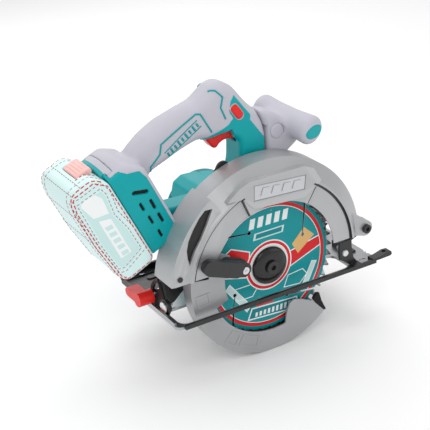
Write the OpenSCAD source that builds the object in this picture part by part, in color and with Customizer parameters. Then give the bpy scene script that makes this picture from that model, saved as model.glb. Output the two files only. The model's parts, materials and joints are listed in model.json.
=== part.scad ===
// Cordless circular saw: sheet base, tilting and depth-setting frame, cast guard,
// geared brushless motor, D-handle with a foot for a slide-on battery pack.
// +X is forward, +Y is the motor side, +Z is up. The origin lies on the underside of
// the base plate, at mid width, straight below the blade's axis.

/* [Blade] */
// Outer diameter of the blade over its teeth
blade_d = 165; // [160:0.5:165]
// Thickness of the blade's steel body
blade_t = 1.6; // [1.2:0.1:2]
// Number of teeth
tooth_count = 40; // [24:2:48]
// Width of a carbide tip
tip_w = 2.2; // [2:0.1:2.6]
// Diameter of the arbor hole
arbor_d = 20; // [16:1:20]
// Height of the blade's axis above the underside of the base at full depth
blade_z = 30; // [30:0.5:31]
// Distance of the blade's plane from the middle of the base
blade_w = 47; // [46.5:0.5:47]

/* [Base] */
// Rear end of the base plate
base_back = 125; // [124:0.5:126]
// Front end of the base plate
base_front = 134; // [132:1:140]
// Width of the base over its rails
base_w = 138; // [136:1:140]
// Thickness of the base plate
base_t = 3; // [2.5:0.25:3]
// Height of the rail along the blade side
near_rail_h = 5; // [4:0.5:5]
// Height of the rail along the motor side
far_rail_h = 11; // [8:1:14]

/* [Guards] */
// Outer radius of the lower guard
lower_r = 101; // [99:0.5:101]
// Outer radius of the upper guard's rim
rim_r = 122; // [120:0.5:123]
// Outer radius of the dust channel at the back of the upper guard
chute_r = 127; // [125:0.5:128]
// Radius of the blade opening in the upper guard's face
open_r = 78; // [76:0.5:79]

/* [Travel] */
// Height of the bevel axis above the underside of the base
tilt_z = 10; // [9.5:0.5:10]
// Distance of the bevel axis from the middle of the base
tilt_w = 30; // [29:0.5:30]
// Forward position of the depth pivot
pivot_x = 124.5; // [124:0.5:125]
// Height of the depth pivot
pivot_z = 40; // [40:0.5:41]
// Radius of the depth guide's slot about the depth pivot
guide_r = 190; // [189:0.5:191]
// Depth travel in degrees
depth_travel = 24; // [20:1:24]

/* [Drive] */
// Gear module
gear_m = 1; // [1:0.05:1]
// Teeth on the driven gear
gear_teeth = 44; // [44:1:44]
// Teeth on the motor pinion
pinion_teeth = 16; // [16:1:16]
// Direction from the blade's axis up to the motor's axis, in degrees from forward
motor_angle = 111.6; // [110:0.2:113]
// Outer radius of the motor housing
motor_r = 43; // [42:0.5:43]

/* [Handle and battery] */
// Width of the hand grip
grip_w = 34; // [32:1:35]
// Lean of the foot and of the battery from upright, in degrees
foot_lean = 25; // [24:0.5:26]
// Width of the foot
foot_w = 66; // [64:1:68]
// Width of the battery pack
pack_w = 76; // [74:1:78]
// Length of the battery pack
pack_l = 120; // [116:1:122]
// Depth of the battery pack behind the foot
pack_d = 47; // [44:1:48]

/* [Hidden] */
$fn = 64;

// running clearance of a shaft in its hole, and free gap between moving faces
run = 0.05;
gap = 0.4;
// small overlap that makes a cut pass right through a face
cut = 1;
// keeps a straight side just inside the round end that it runs into
hair = 0.02;
// a length longer than the whole saw
far_away = 400;

// blade and arbor
blade_r = blade_d / 2;
tip_l = 6;
tip_h = 3;
gullet = 5;
slot_w = 3.2;
slot_in_r = 50;
slot_end_r = 2.2;
slot_a = 27.5;
slot_lean = 56;
flange_r = 21.6;
spindle_r = 8;
shaft_r = 4;

// base plate, its blade slot and its rails
slot_back = 118;
slot_front = 99;
slot_near = 62;
slot_far = 27;
rail_w = 3;
lip_h = 6;
lip_t = 2.5;
bead_h = 1.4;

// stations across the saw, measured from the middle towards the blade side
face_w = 62;
wall = 3.6;
rim_w = 22;
bevel_w = 46;
web_near = 36;
web_far = 33;
lug_near = 56;
lug_far = 47;
lower_near = 55;
lower_far = 38.3;
lower_wall = 2.2;
boss_r = 26;
boss_end = 42;
lever_w = 65;

// brackets and pins
sheet = 2.5;
pin_r = 3;
ear_r = 6.5;
rear_bracket_x = -120;
front_bracket_x = 112;
clamp_r = 23.9;
clamp_a = 10.8;
bevel_travel = 45;
pivot_pin_r = 4;
guide_half = 8;
guide_near = 21.5;
guide_far = 18.5;
clamp_back = 6.4;
clamp_x = pivot_x - guide_r * cos(clamp_back);
clamp_z = pivot_z + guide_r * sin(clamp_back);

// motor axis
motor_x = gear_m * (gear_teeth + pinion_teeth) / 2 * cos(motor_angle);
motor_z = blade_z + gear_m * (gear_teeth + pinion_teeth) / 2 * sin(motor_angle);

// spindle lock on the front of the gear case
lock_x = 16;
lock_y = -14;
lock_z = 80;

// front handle's bar and its ends
front_bar_r = 16;
front_bar_a = [63, -46, 167];
front_bar_b = [45, 30, 178];

// screws of the handle and of the foot, lock-off button
handle_screw_at = [[-100, 180], [-46, 214], [14, 172], [-16, 112]];
foot_screw_at = [24, 84];
lock_off_at = [-13, 199];
lock_off_lean = -55;
// underside of the handle's front column, on the gear case
column_z = 102;

// foot frame: its corner at the lower end of the battery face
foot_x = -127.7;
foot_z = 75.1;
foot_l = 100;
foot_d = 37;

// frame on the blade's axis: x forward, y up, z towards the blade side
module at_blade() {
    translate([0, 0, blade_z]) rotate([90, 0, 0]) children();
}

// frame in the saw's side plane: x forward, y up, z towards the blade side
module at_side() {
    rotate([90, 0, 0]) children();
}

// frame on the bevel axis: x towards the motor side, y up, z forward
module at_bevel() {
    translate([0, -tilt_w, tilt_z]) rotate([90, 0, 90]) children();
}

// frame on the depth pivot: x forward, y up, z towards the blade side
module at_pivot() {
    translate([pivot_x, 0, pivot_z]) rotate([90, 0, 0]) children();
}

// frame on the motor's axis: x forward, y up, z towards the blade side
module at_motor() {
    translate([motor_x, 0, motor_z]) rotate([90, 0, 0]) children();
}

// frame of the foot: x from the battery into the foot, z up along it
module at_foot() {
    translate([foot_x, 0, foot_z]) rotate([0, -foot_lean, 0]) children();
}

// pie slice between two angles
module wedge(a0, a1, r = far_away) {
    steps = 6;
    polygon(concat([[0, 0]], [for (i = [0:steps]) r * [cos(a0 + (a1 - a0) * i / steps),
        sin(a0 + (a1 - a0) * i / steps)]]));
}

// flat piece of a ring between two radii and two angles
module ring_slice(r0, r1, a0, a1) {
    intersection() {
        difference() {
            circle(r1, $fn = 160);
            circle(r0, $fn = 160);
        }
        wedge(a0, a1);
    }
}

// arc slot with round ends
module arc_slot(r, half, a0, a1) {
    ring_slice(r - half + hair, r + half - hair, a0, a1);
    for (a = [a0, a1]) rotate(a) translate([r, 0]) circle(half);
}

// slab between two stations on the blade side, from a flat outline
module slab(w0, w1) {
    translate([0, 0, w0]) linear_extrude(w1 - w0) children();
}

// plain round bar or hole between two stations
module bar(r, w0, w1) {
    translate([0, 0, w0]) cylinder(r = r, h = w1 - w0);
}

// straight bar with round ends, flat
module capsule(a, b, r) {
    d = b - a;
    l = norm(d);
    translate(a) circle(r);
    translate(b) circle(r);
    translate(a) rotate(atan2(d[1], d[0])) translate([0, hair - r]) square([l, 2 * (r - hair)]);
}

// rectangle with round corners, flat
module soft_rect(x0, y0, x1, y1, r) {
    translate([x0, y0 + r]) square([x1 - x0, y1 - y0 - 2 * r]);
    translate([x0 + r, y0]) square([x1 - x0 - 2 * r, y1 - y0]);
    for (x = [x0 + r, x1 - r], y = [y0 + r, y1 - r]) translate([x, y]) circle(r);
}

// ---------------------------------------------------------------- base

module blade_slot() {
    soft_rect(-slot_back, -slot_near, slot_front, -slot_far, 9);
}

module base_plate() {
    edge = base_w / 2 - rail_w;
    color([0.62, 0.63, 0.64]) difference() {
        union() {
            linear_extrude(base_t) difference() {
                soft_rect(-base_back, -edge, base_front, edge, 7);
                blade_slot();
            }
            // turned-up lip along the back
            translate([-base_back, -edge + 7, 0]) cube([lip_t, 2 * edge - 14, lip_h]);
            // stiffening beads
            for (y = [6, 48]) translate([0, 0, base_t]) linear_extrude(bead_h)
                capsule([-96, y], [96, y], 3.5);
        }
        // sight notches for the square and the bevelled cut
        for (y = [-blade_w, -blade_w + 5]) translate([base_front, y, -cut])
            cylinder(r = 2, h = base_t + 2 * cut);
        // scale slot at the front corner
        translate([0, 0, -cut]) linear_extrude(base_t + 2 * cut)
            capsule([116, -57], [122, -57], 1.5);
        // rivet holes of the rails
        for (x = [-100, 0, 100]) translate([x, edge - 6, -cut]) cylinder(r = 2, h = base_t + 2 * cut);
    }
}

module near_rail() {
    edge = base_w / 2;
    color([0.09, 0.09, 0.1]) difference() {
        union() {
            translate([-base_back + 8, -edge, 0]) cube([base_back + base_front - 12, rail_w, near_rail_h]);
            // raised hook at the front end
            rotate([90, 0, 0]) translate([0, 0, edge - 10]) linear_extrude(10)
                polygon([[base_front - 9, base_t], [base_front + 2, base_t], [base_front + 16, 3.4],
                    [base_front + 18, 5], [base_front + 17, 8.4], [base_front + 10, 9],
                    [base_front - 2, 6], [base_front - 9, 6]]);
        }
        // eye in the hook
        translate([base_front + 10, -edge + 5, -cut]) cylinder(r = 2.6, h = 20);
    }
}

module far_rail() {
    edge = base_w / 2;
    color([0.09, 0.09, 0.1]) difference() {
        union() {
            translate([-base_back + 3, edge - rail_w, 0])
                cube([base_back + base_front - 6, rail_w, far_rail_h]);
            translate([-base_back + 8, edge - rail_w - 9, base_t])
                cube([base_back + base_front - 16, 9.5, 1.2]);
        }
        for (x = [-100, 0, 100]) translate([x, edge - rail_w - 6, 0]) cylinder(r = 2, h = 8);
    }
}

module base_rivets() {
    color("silver") for (x = [-100, 0, 100]) translate([x, base_w / 2 - rail_w - 6, 0.4]) {
        cylinder(r = 2, h = 4);
        translate([0, 0, 3.8]) cylinder(r = 3.4, h = 1);
    }
}

module rip_guide_clamp() {
    color([0.12, 0.12, 0.13]) translate([108, 18, base_t]) difference() {
        cube([16, 30, 13]);
        // channel for the guide bar
        translate([-cut, 5, -cut]) cube([16 + 2 * cut, 20, 4.5 + cut]);
        // threaded hole of the clamp screw
        translate([8, 15, 0]) cylinder(r = 2.5, h = 20);
    }
}

// ---------------------------------------------------------------- bevel and depth frame

module rear_bevel_bracket() {
    color([0.1, 0.1, 0.11]) difference() {
        union() {
            translate([rear_bracket_x, 0, 0]) at_bevel() linear_extrude(sheet) intersection() {
                union() {
                    circle(9);
                    intersection() {
                        circle(clamp_r + 7.5);
                        wedge(-6, 66, 80);
                    }
                    translate([-6, -7]) square([42, 12]);
                }
                translate([-20, base_t - tilt_z]) square([80, 60]);
            }
            // foot flange on the plate
            translate([rear_bracket_x + sheet, -17, base_t]) cube([14, 26, 2]);
        }
        translate([rear_bracket_x - cut, 0, 0]) at_bevel() linear_extrude(sheet + 2 * cut) {
            circle(pin_r);
            arc_slot(clamp_r, pin_r + 0.3, clamp_a, clamp_a + bevel_travel);
        }
    }
}

module front_bevel_bracket() {
    color([0.1, 0.1, 0.11]) difference() {
        union() {
            translate([front_bracket_x, 0, 0]) at_bevel() linear_extrude(sheet) intersection() {
                union() {
                    circle(9);
                    translate([-9, -9]) square([30, 9]);
                }
                translate([-20, base_t - tilt_z]) square([80, 60]);
            }
            translate([front_bracket_x + sheet, -38, base_t]) cube([10, 28, 2]);
        }
        translate([front_bracket_x - cut, 0, 0]) at_bevel() cylinder(r = pin_r, h = sheet + 2 * cut);
    }
}

// side plate that stands on the blade-side strip, below the front end of the guard
module front_side_plate() {
    color([0.08, 0.08, 0.09]) difference() {
        union() {
            at_side() slab(58, 61)
                polygon([[84.5, 35], [101, 36], [101.5, 24], [104, 12], [111, 3], [100, 3], [94, 9],
                    [85, 14], [84.5, 22]]);
            translate([100, -66, base_t]) cube([11, 8, 2]);
        }
        translate([92, 0, 21]) at_side() bar(2, 57, 63);
    }
    color("silver") translate([92, 0, 21]) at_side() {
        bar(2, 58, 61);
        bar(3.6, 61, 62.6);
    }
}

module bevel_pivot_bolts() {
    color("silver") at_bevel() {
        // rear bolt with a domed washer head
        bar(pin_r, rear_bracket_x - 1, rear_bracket_x + 2 * sheet + 4);
        bar(ear_r, rear_bracket_x - 2.4, rear_bracket_x);
        // front bolt
        bar(pin_r, front_bracket_x - sheet - 4, front_bracket_x + sheet + 1);
        bar(pin_r + 1.7, front_bracket_x + sheet, front_bracket_x + sheet + 2.6);
    }
}

module rear_tilt_bracket() {
    color([0.13, 0.13, 0.14]) difference() {
        union() {
            translate([rear_bracket_x + sheet + 0.3, 0, 0]) at_bevel() linear_extrude(sheet) {
                circle(ear_r);
                capsule([0, 0], clamp_r * [cos(clamp_a), sin(clamp_a)], ear_r - 0.5);
                polygon([[3, 0], [11.4, 0.5], [11.4, 30], [8.6, 30], [1, 3]]);
            }
        }
        translate([rear_bracket_x, 0, 0]) at_bevel() {
            bar(pin_r + run, -cut, 3 * sheet);
            translate(clamp_r * [cos(clamp_a), sin(clamp_a)]) bar(pin_r, -cut, 3 * sheet);
        }
    }
}

module front_tilt_bracket() {
    color([0.13, 0.13, 0.14]) difference() {
        union() {
            translate([front_bracket_x - sheet - 0.3, 0, 0]) at_bevel() linear_extrude(sheet) {
                circle(ear_r);
                polygon([[-6, -2.5], [-16.7, 14], [-16.7, 37], [-12.7, 37], [-12.7, 30], [5, 4.5], [6, -2]]);
            }
            // ear that carries the depth pivot
            at_side() slab(lug_far - 4.3, lug_far - 0.3) {
                translate([pivot_x, pivot_z]) circle(9);
                polygon([[front_bracket_x - sheet - 0.3, 24], [pivot_x + 3, pivot_z - 8.4],
                    [pivot_x + 3, pivot_z + 8], [front_bracket_x - sheet - 0.3, 47]]);
            }
        }
        translate([front_bracket_x - 10, 0, 0]) at_bevel() cylinder(r = pin_r + run, h = 20);
        at_pivot() bar(pivot_pin_r, 30, 60);
    }
}

// slotted arc about the depth pivot, with the arm that joins it to the rear bracket
module depth_guide() {
    top = 180 - clamp_back - depth_travel - 2.4;
    bottom = 180 - clamp_back + 3;
    arm_x = rear_bracket_x + 2 * sheet + 0.3;
    color([0.07, 0.07, 0.08]) difference() {
        union() {
            at_pivot() slab(guide_far, guide_near) arc_slot(guide_r, guide_half, top, bottom);
            at_side() slab(guide_far, guide_near)
                polygon([[-60, 46], [-56, 60], [-71, 62], [arm_x, 34], [arm_x, 7], [-104, 7]]);
        }
        at_pivot() slab(guide_far - cut, guide_near + cut)
            arc_slot(guide_r, pin_r + 0.3, top + 2.2, bottom - 2.6);
    }
}

module front_pivot_bolt() {
    color([0.06, 0.06, 0.06]) at_pivot() difference() {
        union() {
            bar(pivot_pin_r, lug_far - 7, lug_near + 1);
            bar(5.2, lug_near + 0.1, lug_near + 3.8);
            bar(6.5, lug_far - 8, lug_far - 4.3);
        }
        translate([0, 0, lug_near + 1.6]) cylinder(r = 2.6, h = 5, $fn = 6);
    }
}

module bevel_clamp_bolt() {
    color("silver") at_bevel() translate(clamp_r * [cos(clamp_a), sin(clamp_a)]) {
        bar(pin_r, rear_bracket_x - 10, rear_bracket_x + 2 * sheet + 4);
        bar(5.5, rear_bracket_x + 2 * sheet + 0.3, rear_bracket_x + 2 * sheet + 4);
    }
}

module bevel_lock_lever() {
    hub = clamp_r * [cos(clamp_a), sin(clamp_a)];
    tip = hub + [22, 0];
    color([0.85, 0.1, 0.1]) difference() {
        at_bevel() {
            slab(rear_bracket_x - 20, rear_bracket_x - 6.2) capsule(hub, tip, 5);
            slab(rear_bracket_x - 20, rear_bracket_x - 2.7) translate(hub) circle(8);
        }
        at_bevel() translate(hub) bar(pin_r + run, rear_bracket_x - 10, rear_bracket_x);
    }
}

// ---------------------------------------------------------------- guards

// outline of the flat boss that carries the badge, blade-centred
module badge_boss() {
    polygon([[-57, 94], [-42, 106], [-30, 110.5], [37, 110.5], [50, 105], [60, 88], [37, 75], [-25, 79],
        [-38, 93]]);
}

// lug that hangs the guard on the depth pivot, blade-centred
module pivot_lug() {
    px = pivot_x;
    py = pivot_z - blade_z;
    translate([px, py]) circle(9);
    polygon([[103.2, 7], [px - 2, py - 8.8], [px, py], [px + 3, py + 8.5], [108, 33], [98, 38]]);
}

// long wedge that opens the face of the dust channel, blade-centred
module dust_window() {
    polygon([[-73, 92], [-82, 92.5], [-89, 86], [-97, 75], [-103, 64], [-105.5, 54], [-105, 45],
        [-103, 36.5], [-100.5, 42], [-96, 51], [-88, 62.5], [-80, 77]]);
}

module upper_guard() {
    color([0.72, 0.72, 0.73]) difference() {
        at_blade() difference() {
            union() {
                // bevelled face and rim
                intersection() {
                    rotate_extrude($fn = 160) polygon([[open_r, face_w], [104, face_w],
                        [rim_r, bevel_w], [rim_r, rim_w], [rim_r - 3, rim_w], [rim_r - 3, bevel_w - 1.2],
                        [103.4, face_w - wall], [open_r, face_w - wall]]);
                    union() {
                        slab(rim_w, face_w) translate([-far_away, 17]) square([far_away + 40, far_away]);
                        slab(50, face_w) translate([0, 7]) square([far_away, far_away]);
                        slab(rim_w, face_w) translate([0, 22]) square([far_away, far_away]);
                    }
                }
                // web on the gear side
                slab(web_far, web_near) {
                    intersection() {
                        circle(rim_r - 1, $fn = 160);
                        union() {
                            translate([-far_away, 17]) square([far_away + 40, far_away]);
                            translate([0, 22]) square([far_away, far_away]);
                        }
                    }
                    intersection() {
                        circle(42);
                        translate([-60, -12]) square([120, 60]);
                    }
                }
                // boss of the depth clamp
                translate([clamp_x, clamp_z - blade_z]) bar(9, rim_w, web_far + cut);
                // raised field of the badge
                slab(lower_near + 1.2, face_w + 1) badge_boss();
                // dust channel down the back
                intersection() {
                    slab(rim_w + 2, face_w - 2) ring_slice(104, chute_r, 126, 172);
                    slab(0, 100) translate([-far_away, 17]) square([far_away, far_away]);
                }
                slab(lug_far, lug_near) pivot_lug();
            }
            // inside of the dust channel
            slab(rim_w + 4.5, face_w - 4.6) ring_slice(106.6, chute_r - 2.6, 128.5, 176);
            // way from the blade's room into the channel
            slab(40, 55) ring_slice(99, 108, 140, 160);
            // screw of the channel's wall
            rotate(168) translate([118, 0]) bar(1.8, face_w - 5, face_w);
            // window in the face of the channel
            slab(face_w - 5, face_w + cut) dust_window();
            // stepped bands beside the opening, with a groove round them
            slab(face_w - 2.2, face_w + 2) {
                ring_slice(open_r - 1, 99.5, -2, 57);
                ring_slice(open_r - 1, 99.5, 113, 175);
            }
            slab(face_w - 2.8, face_w + 2) {
                ring_slice(99.4, 101.4, -2, 60);
                ring_slice(99.4, 101.4, 111, 175);
            }
            // recess of the badge
            slab(face_w + 0.2, face_w + 2)
                polygon([[-25, 105], [40, 100.5], [38, 84], [-25.5, 87.5]]);
            bar(boss_r + 0.1, web_far - cut, web_near + cut);
        }
        at_pivot() bar(pivot_pin_r + run, 40, 70);
        at_side() translate([clamp_x, clamp_z]) bar(pin_r, rim_w - cut, web_far - 1);
        at_blade() for (a = [60, 120, -12, 192]) rotate(a) translate([34, 0])
            bar(2, web_far - cut, web_near + cut);
    }
}

// badge plate with a plain row of slanted bars
module guard_badge() {
    color([0.8, 0.8, 0.81]) at_blade() {
        slab(face_w + 0.2, face_w + 0.8) polygon([[-24, 104], [39, 99.6], [37.2, 85], [-24.5, 88.4]]);
        slab(face_w + 0.8, face_w + 1.6) for (i = [0:3]) translate([-17 + 13 * i, 0])
            polygon([[0, 91.6 - 0.8 * i], [8, 91.1 - 0.8 * i], [11, 99.4 - 0.9 * i], [3, 100 - 0.9 * i]]);
    }
}

module dust_window_liner() {
    color([0.04, 0.04, 0.04]) at_blade() slab(face_w - 6.4, face_w - 4.7)
        ring_slice(107, chute_r - 3, 129.5, 166);
}

module guard_bumper() {
    color([0.05, 0.05, 0.05]) at_blade() rotate(33) translate([92, 0]) bar(4, web_near, web_near + 8);
}

module guard_screws() {
    color([0.1, 0.1, 0.1]) at_blade() {
        // cross-head screws that hold the guard to the gear case, from inside
        for (a = [60, 120, -12, 192]) rotate(a) translate([34, 0]) {
            bar(2, web_far - 3, web_near);
            bar(3.6, web_near, web_near + 1.4);
        }
        // screw of the dust channel, near the back end of the face
        rotate(168) translate([118, 0]) {
            bar(1.8, face_w - 4, face_w - 2);
            bar(3, face_w - 2, face_w - 0.8);
        }
    }
}

module lower_guard() {
    from = 172;
    to = 312;
    color([0.5, 0.5, 0.5]) at_blade() difference() {
        union() {
            // rim
            slab(lower_far, lower_near) ring_slice(lower_r - lower_wall, lower_r, from, to);
            // wall on the blade side, with the lobe in front and the ear of the lever
            slab(lower_near - lower_wall, lower_near) {
                ring_slice(76, lower_r, from, to);
                intersection() {
                    ring_slice(50, lower_r, 278, to);
                    polygon([[14.5, -76], [17, -62], [21, -51.5], [26.6, -48.5], [37, -51.5], [48, -57],
                        [62, -68], [80, -90], [60, -120], [0, -120]]);
                }
                ring_slice(40, 78, 152, 174);
                ring_slice(60, 80, 150, 200);
            }
            // wall on the gear side, with the hub
            slab(lower_far, lower_far + lower_wall) {
                ring_slice(boss_r, lower_r, from, to);
                circle(boss_r + 9);
            }
            // closed back end, outside the blade
            slab(lower_far, lower_near) ring_slice(85, lower_r, from, from + 1.4);
            // raised marks on the blade-side wall
            slab(lower_near, lower_near + 0.8) {
                difference() {
                    ring_slice(80, 96, 183, 193);
                    ring_slice(82, 94, 184.3, 191.7);
                }
                difference() {
                    ring_slice(80, 96, 228, 238);
                    ring_slice(82, 94, 229.3, 236.7);
                }
                difference() {
                    ring_slice(80, 94, 240, 256);
                    ring_slice(82, 92, 241.3, 254.7);
                }
            }
        }
        bar(boss_r + run, lower_far - cut, lower_far + 2 * lower_wall);
        rotate(159) translate([46.5, 0]) bar(2, 50, 60);
    }
}

module guard_lever() {
    color([0.13, 0.13, 0.14]) at_blade() rotate(159) difference() {
        union() {
            slab(lower_near, lower_near + 6) capsule([46.5, 0], [62, 0], 8.5);
            slab(lower_near + 4, lever_w + 4) capsule([46.5, 0], [64, 0], 8);
            slab(lever_w, lever_w + 8) capsule([58, 0], [91, 0], 8.5);
        }
        translate([46.5, 0]) bar(2, lower_near - cut, lever_w + 20);
        // seat of the screw's head
        translate([46.5, 0]) bar(4.6, lever_w + 4, lever_w + 20);
    }
}

module guard_lever_screw() {
    color("silver") at_blade() rotate(159) translate([46.5, 0]) difference() {
        union() {
            bar(2, lower_near - lower_wall, lever_w + 4);
            bar(4.2, lever_w + 4, lever_w + 6.4);
        }
        translate([0, 0, lever_w + 5]) cylinder(r = 1.6, h = 3, $fn = 6);
    }
}

module return_spring() {
    color("silver") at_blade() {
        translate([0, 0, web_near + 1.1]) rotate_extrude() translate([29.5, 0]) circle(0.8);
        rotate(100) translate([29.5, 0, web_near + 1.1]) rotate([0, 90, 0]) cylinder(r = 0.8, h = 14);
    }
}

// ---------------------------------------------------------------- blade and arbor

// outline of one carbide tip, at the forward direction
module tip_outline() {
    polygon([[blade_r - tip_l, 0.1], [blade_r, 0.1], [blade_r - 0.5, 2.2], [blade_r - tip_l, 1.4]]);
}

// steel body: gullets between the teeth, four expansion slots with round ends
module blade() {
    pitch = 360 / tooth_count;
    tooth = [[blade_r - gullet - 1.6, 0.02], [blade_r - gullet - 1.6, 0.3], [blade_r - tip_h, 0.6],
        [blade_r - 0.9, 0.84]];
    color([0.7, 0.71, 0.72]) at_blade() slab(blade_w - blade_t / 2, blade_w + blade_t / 2) difference() {
        polygon([for (i = [0:tooth_count - 1], p = tooth)
            p[0] * [cos(-(i + p[1]) * pitch), sin(-(i + p[1]) * pitch)]]);
        circle(arbor_d / 2);
        // expansion slots, leaning from the radius and wider at the rim
        for (a = [slot_a:90:slot_a + 270]) rotate(a) translate([slot_in_r, 0]) rotate(slot_lean) {
            polygon([[0, -0.6], [46, -slot_w / 2], [46, slot_w / 2], [0, 0.6]]);
            circle(slot_end_r);
        }
        for (i = [0:tooth_count - 1]) rotate(-i * pitch) tip_outline();
    }
}

module blade_tips() {
    pitch = 360 / tooth_count;
    color([0.55, 0.56, 0.57]) at_blade() slab(blade_w - tip_w / 2, blade_w + tip_w / 2)
        for (i = [0:tooth_count - 1]) rotate(-i * pitch) tip_outline();
}

module inner_flange() {
    color([0.55, 0.55, 0.56]) at_blade() difference() {
        union() {
            bar(20, blade_w - 3.8, blade_w - blade_t / 2);
            bar(arbor_d / 2 - run, blade_w - 3.8, blade_w + blade_t / 2);
        }
        bar(spindle_r, 0, 100);
    }
}

module outer_flange() {
    color([0.06, 0.06, 0.06]) at_blade() rotate_extrude() polygon(concat(
        [[5.2, blade_w + blade_t / 2], [flange_r, blade_w + blade_t / 2], [flange_r, blade_w + 2.4]],
        [for (a = [20:10:70]) [9 + (flange_r - 9) * cos(a), blade_w + 2.4 + 4.6 * sin(a)]],
        [[9, blade_w + 7], [5.2, blade_w + 7]]));
}

module blade_bolt() {
    color([0.12, 0.12, 0.12]) at_blade() difference() {
        union() {
            bar(4, blade_w - 22, blade_w + 8);
            bar(7.6, blade_w + 7, blade_w + 10);
        }
        translate([0, 0, blade_w + 7.2]) cylinder(r = 3.2, h = 10, $fn = 6);
    }
}

// ---------------------------------------------------------------- gear train

// involute tooth outline of a spur gear with a little backlash
module spur(teeth, spin) {
    base = gear_m * teeth / 2 * cos(20);
    outer = gear_m * (teeth / 2 + 0.9);
    root = gear_m * (teeth / 2 - 1.2);
    pitch_r = gear_m * teeth / 2;
    half = 90 / teeth - 0.35 * 16 / teeth + (tan(20) * 180 / PI - 20);
    start = max(root, base);
    flank = [for (i = [0:5]) let (r = start + (outer - start) * i / 5,
        t = sqrt(max(0, r * r / (base * base) - 1))) [r, half - (t * 180 / PI - atan(t))]];
    rotate(spin) polygon([for (i = [0:teeth - 1]) each concat(
        [root * [cos(360 * i / teeth - half), sin(360 * i / teeth - half)]],
        [for (p = flank) p[0] * [cos(360 * i / teeth - p[1]), sin(360 * i / teeth - p[1])]],
        [for (k = [5:-1:0]) let (p = flank[k]) p[0] * [cos(360 * i / teeth + p[1]),
            sin(360 * i / teeth + p[1])]],
        [root * [cos(360 * i / teeth + half), sin(360 * i / teeth + half)]])]);
}

module spindle() {
    color("silver") at_blade() difference() {
        union() {
            bar(spindle_r, 3, blade_w + 0.4);
            bar(9.5, 26, 29.8);
        }
        bar(4, blade_w - 22, 100);
    }
}

module driven_gear() {
    color([0.5, 0.5, 0.52]) at_blade() slab(15, 25.8) difference() {
        spur(gear_teeth, motor_angle);
        circle(spindle_r);
        for (a = [30:60:330]) rotate(a) translate([14, 0]) circle(3);
    }
}

module bearing(outer, inner, w0, w1) {
    difference() {
        bar(outer, w0, w1);
        bar(inner, w0 - cut, w1 + cut);
    }
}

module spindle_bearings() {
    color([0.75, 0.75, 0.76]) at_blade() {
        bearing(16, spindle_r + run, 30, 39);
        bearing(13, spindle_r + run, 4, 11);
    }
}

module rotor_shaft() {
    color("silver") at_motor() {
        bar(shaft_r, -78, 27);
        difference() {
            slab(14, 26.6) spur(pinion_teeth, motor_angle + 180 + 180 / pinion_teeth);
            bar(shaft_r, 13, 28);
        }
    }
}

module gear_case() {
    color([0.66, 0.66, 0.67]) difference() {
        union() {
            at_blade() bar(boss_r, 0, boss_end);
            at_blade() slab(27, web_far) intersection() {
                circle(42);
                translate([-60, -12]) square([120, 60]);
            }
            at_motor() bar(17, -2, web_far);
            at_motor() bar(motor_r, -6, -2);
            // waist between the two bores
            at_side() slab(-2, 30) polygon([[-26, blade_z], [26, blade_z], [20, motor_z + 8],
                [-28, motor_z + 4]]);
            // neck up to the handle
            at_side() slab(-2, 30) polygon([[-28, motor_z], [16, motor_z], [16, column_z], [-24, column_z]]);
        }
        at_blade() {
            bar(24.2, 12.5, 27);
            bar(16, 30, 39);
            bar(13, 4, 11);
            bar(spindle_r + 2.2, 2, 100);
        }
        at_motor() {
            bar(10.2, 12.5, 28);
            bar(11, -6 - cut, 3);
            bar(5, -8, 28);
        }
        // screw holes towards the guard
        at_blade() for (a = [60, 120, -12, 192]) rotate(a) translate([34, 0])
            bar(2, web_far - 3, web_far + cut);
        translate([lock_x - 14, lock_y, lock_z]) rotate([0, 90, 0]) cylinder(r = 4 + run, h = 20);
    }
}

module spindle_lock_button() {
    color([0.08, 0.08, 0.08]) translate([lock_x, lock_y, lock_z]) rotate([0, 90, 0]) {
        translate([0, 0, -9]) cylinder(r = 4, h = 18);
        translate([0, 0, 4.5]) cylinder(r = 6.5, h = 4.5);
    }
}

// ---------------------------------------------------------------- motor

module motor_housing() {
    color([0, 0.63, 0.65]) at_motor() difference() {
        union() {
            bearing(motor_r, motor_r - 3, -72, -6);
            for (a = [45:90:315]) rotate(a) translate([motor_r - 6.4, 0]) bar(4.6, -71.5, -60);
        }
        for (a = [45:90:315]) rotate(a) translate([motor_r - 6.4, 0]) bar(2, -72 - cut, -64);
        // air outlets round the fan
        for (a = [-56:14:84]) rotate(a) translate([motor_r - 6, -2.2, -15]) cube([10, 4.4, 6]);
        // air inlets behind the stator
        for (a = [246:12:294]) rotate(a) translate([motor_r - 6, -2.2, -68]) cube([10, 4.4, 7]);
    }
}

module motor_end_cap() {
    color([0, 0.55, 0.57]) at_motor() difference() {
        union() {
            difference() {
                union() {
                    bar(motor_r, -79, -72);
                    bar(motor_r - 3, -82, -78);
                }
                bar(motor_r - 3.5, -78, -72 + cut);
            }
            // seat of the rear bearing
            bar(14, -80, -70);
            for (a = [45:90:315]) rotate(a) translate([motor_r - 6.4, 0]) bar(4.6, -80, -72);
        }
        bar(11, -77, -70 + cut);
        bar(shaft_r + 1, -78.6, -69);
        for (a = [0:30:330]) rotate(a) translate([18, -1.6, -84]) cube([13, 3.2, 8]);
        for (a = [45:90:315]) rotate(a) translate([motor_r - 6.4, 0]) bar(2, -83, -71);
    }
}

module stator_core() {
    color([0.35, 0.35, 0.37]) at_motor() slab(-55, -21) {
        difference() {
            circle(motor_r - 3);
            circle(33);
        }
        for (a = [0:60:300]) rotate(a) {
            translate([18, -3]) square([16, 6]);
            ring_slice(17.4, 20.5, -20, 20);
        }
    }
}

module stator_windings() {
    color([0.72, 0.38, 0.15]) at_motor() for (a = [0:60:300]) rotate(a) slab(-60, -16) difference() {
        translate([21.5, -6.5]) square([10.5, 13]);
        translate([20, -3]) square([14, 6]);
    }
}

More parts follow.
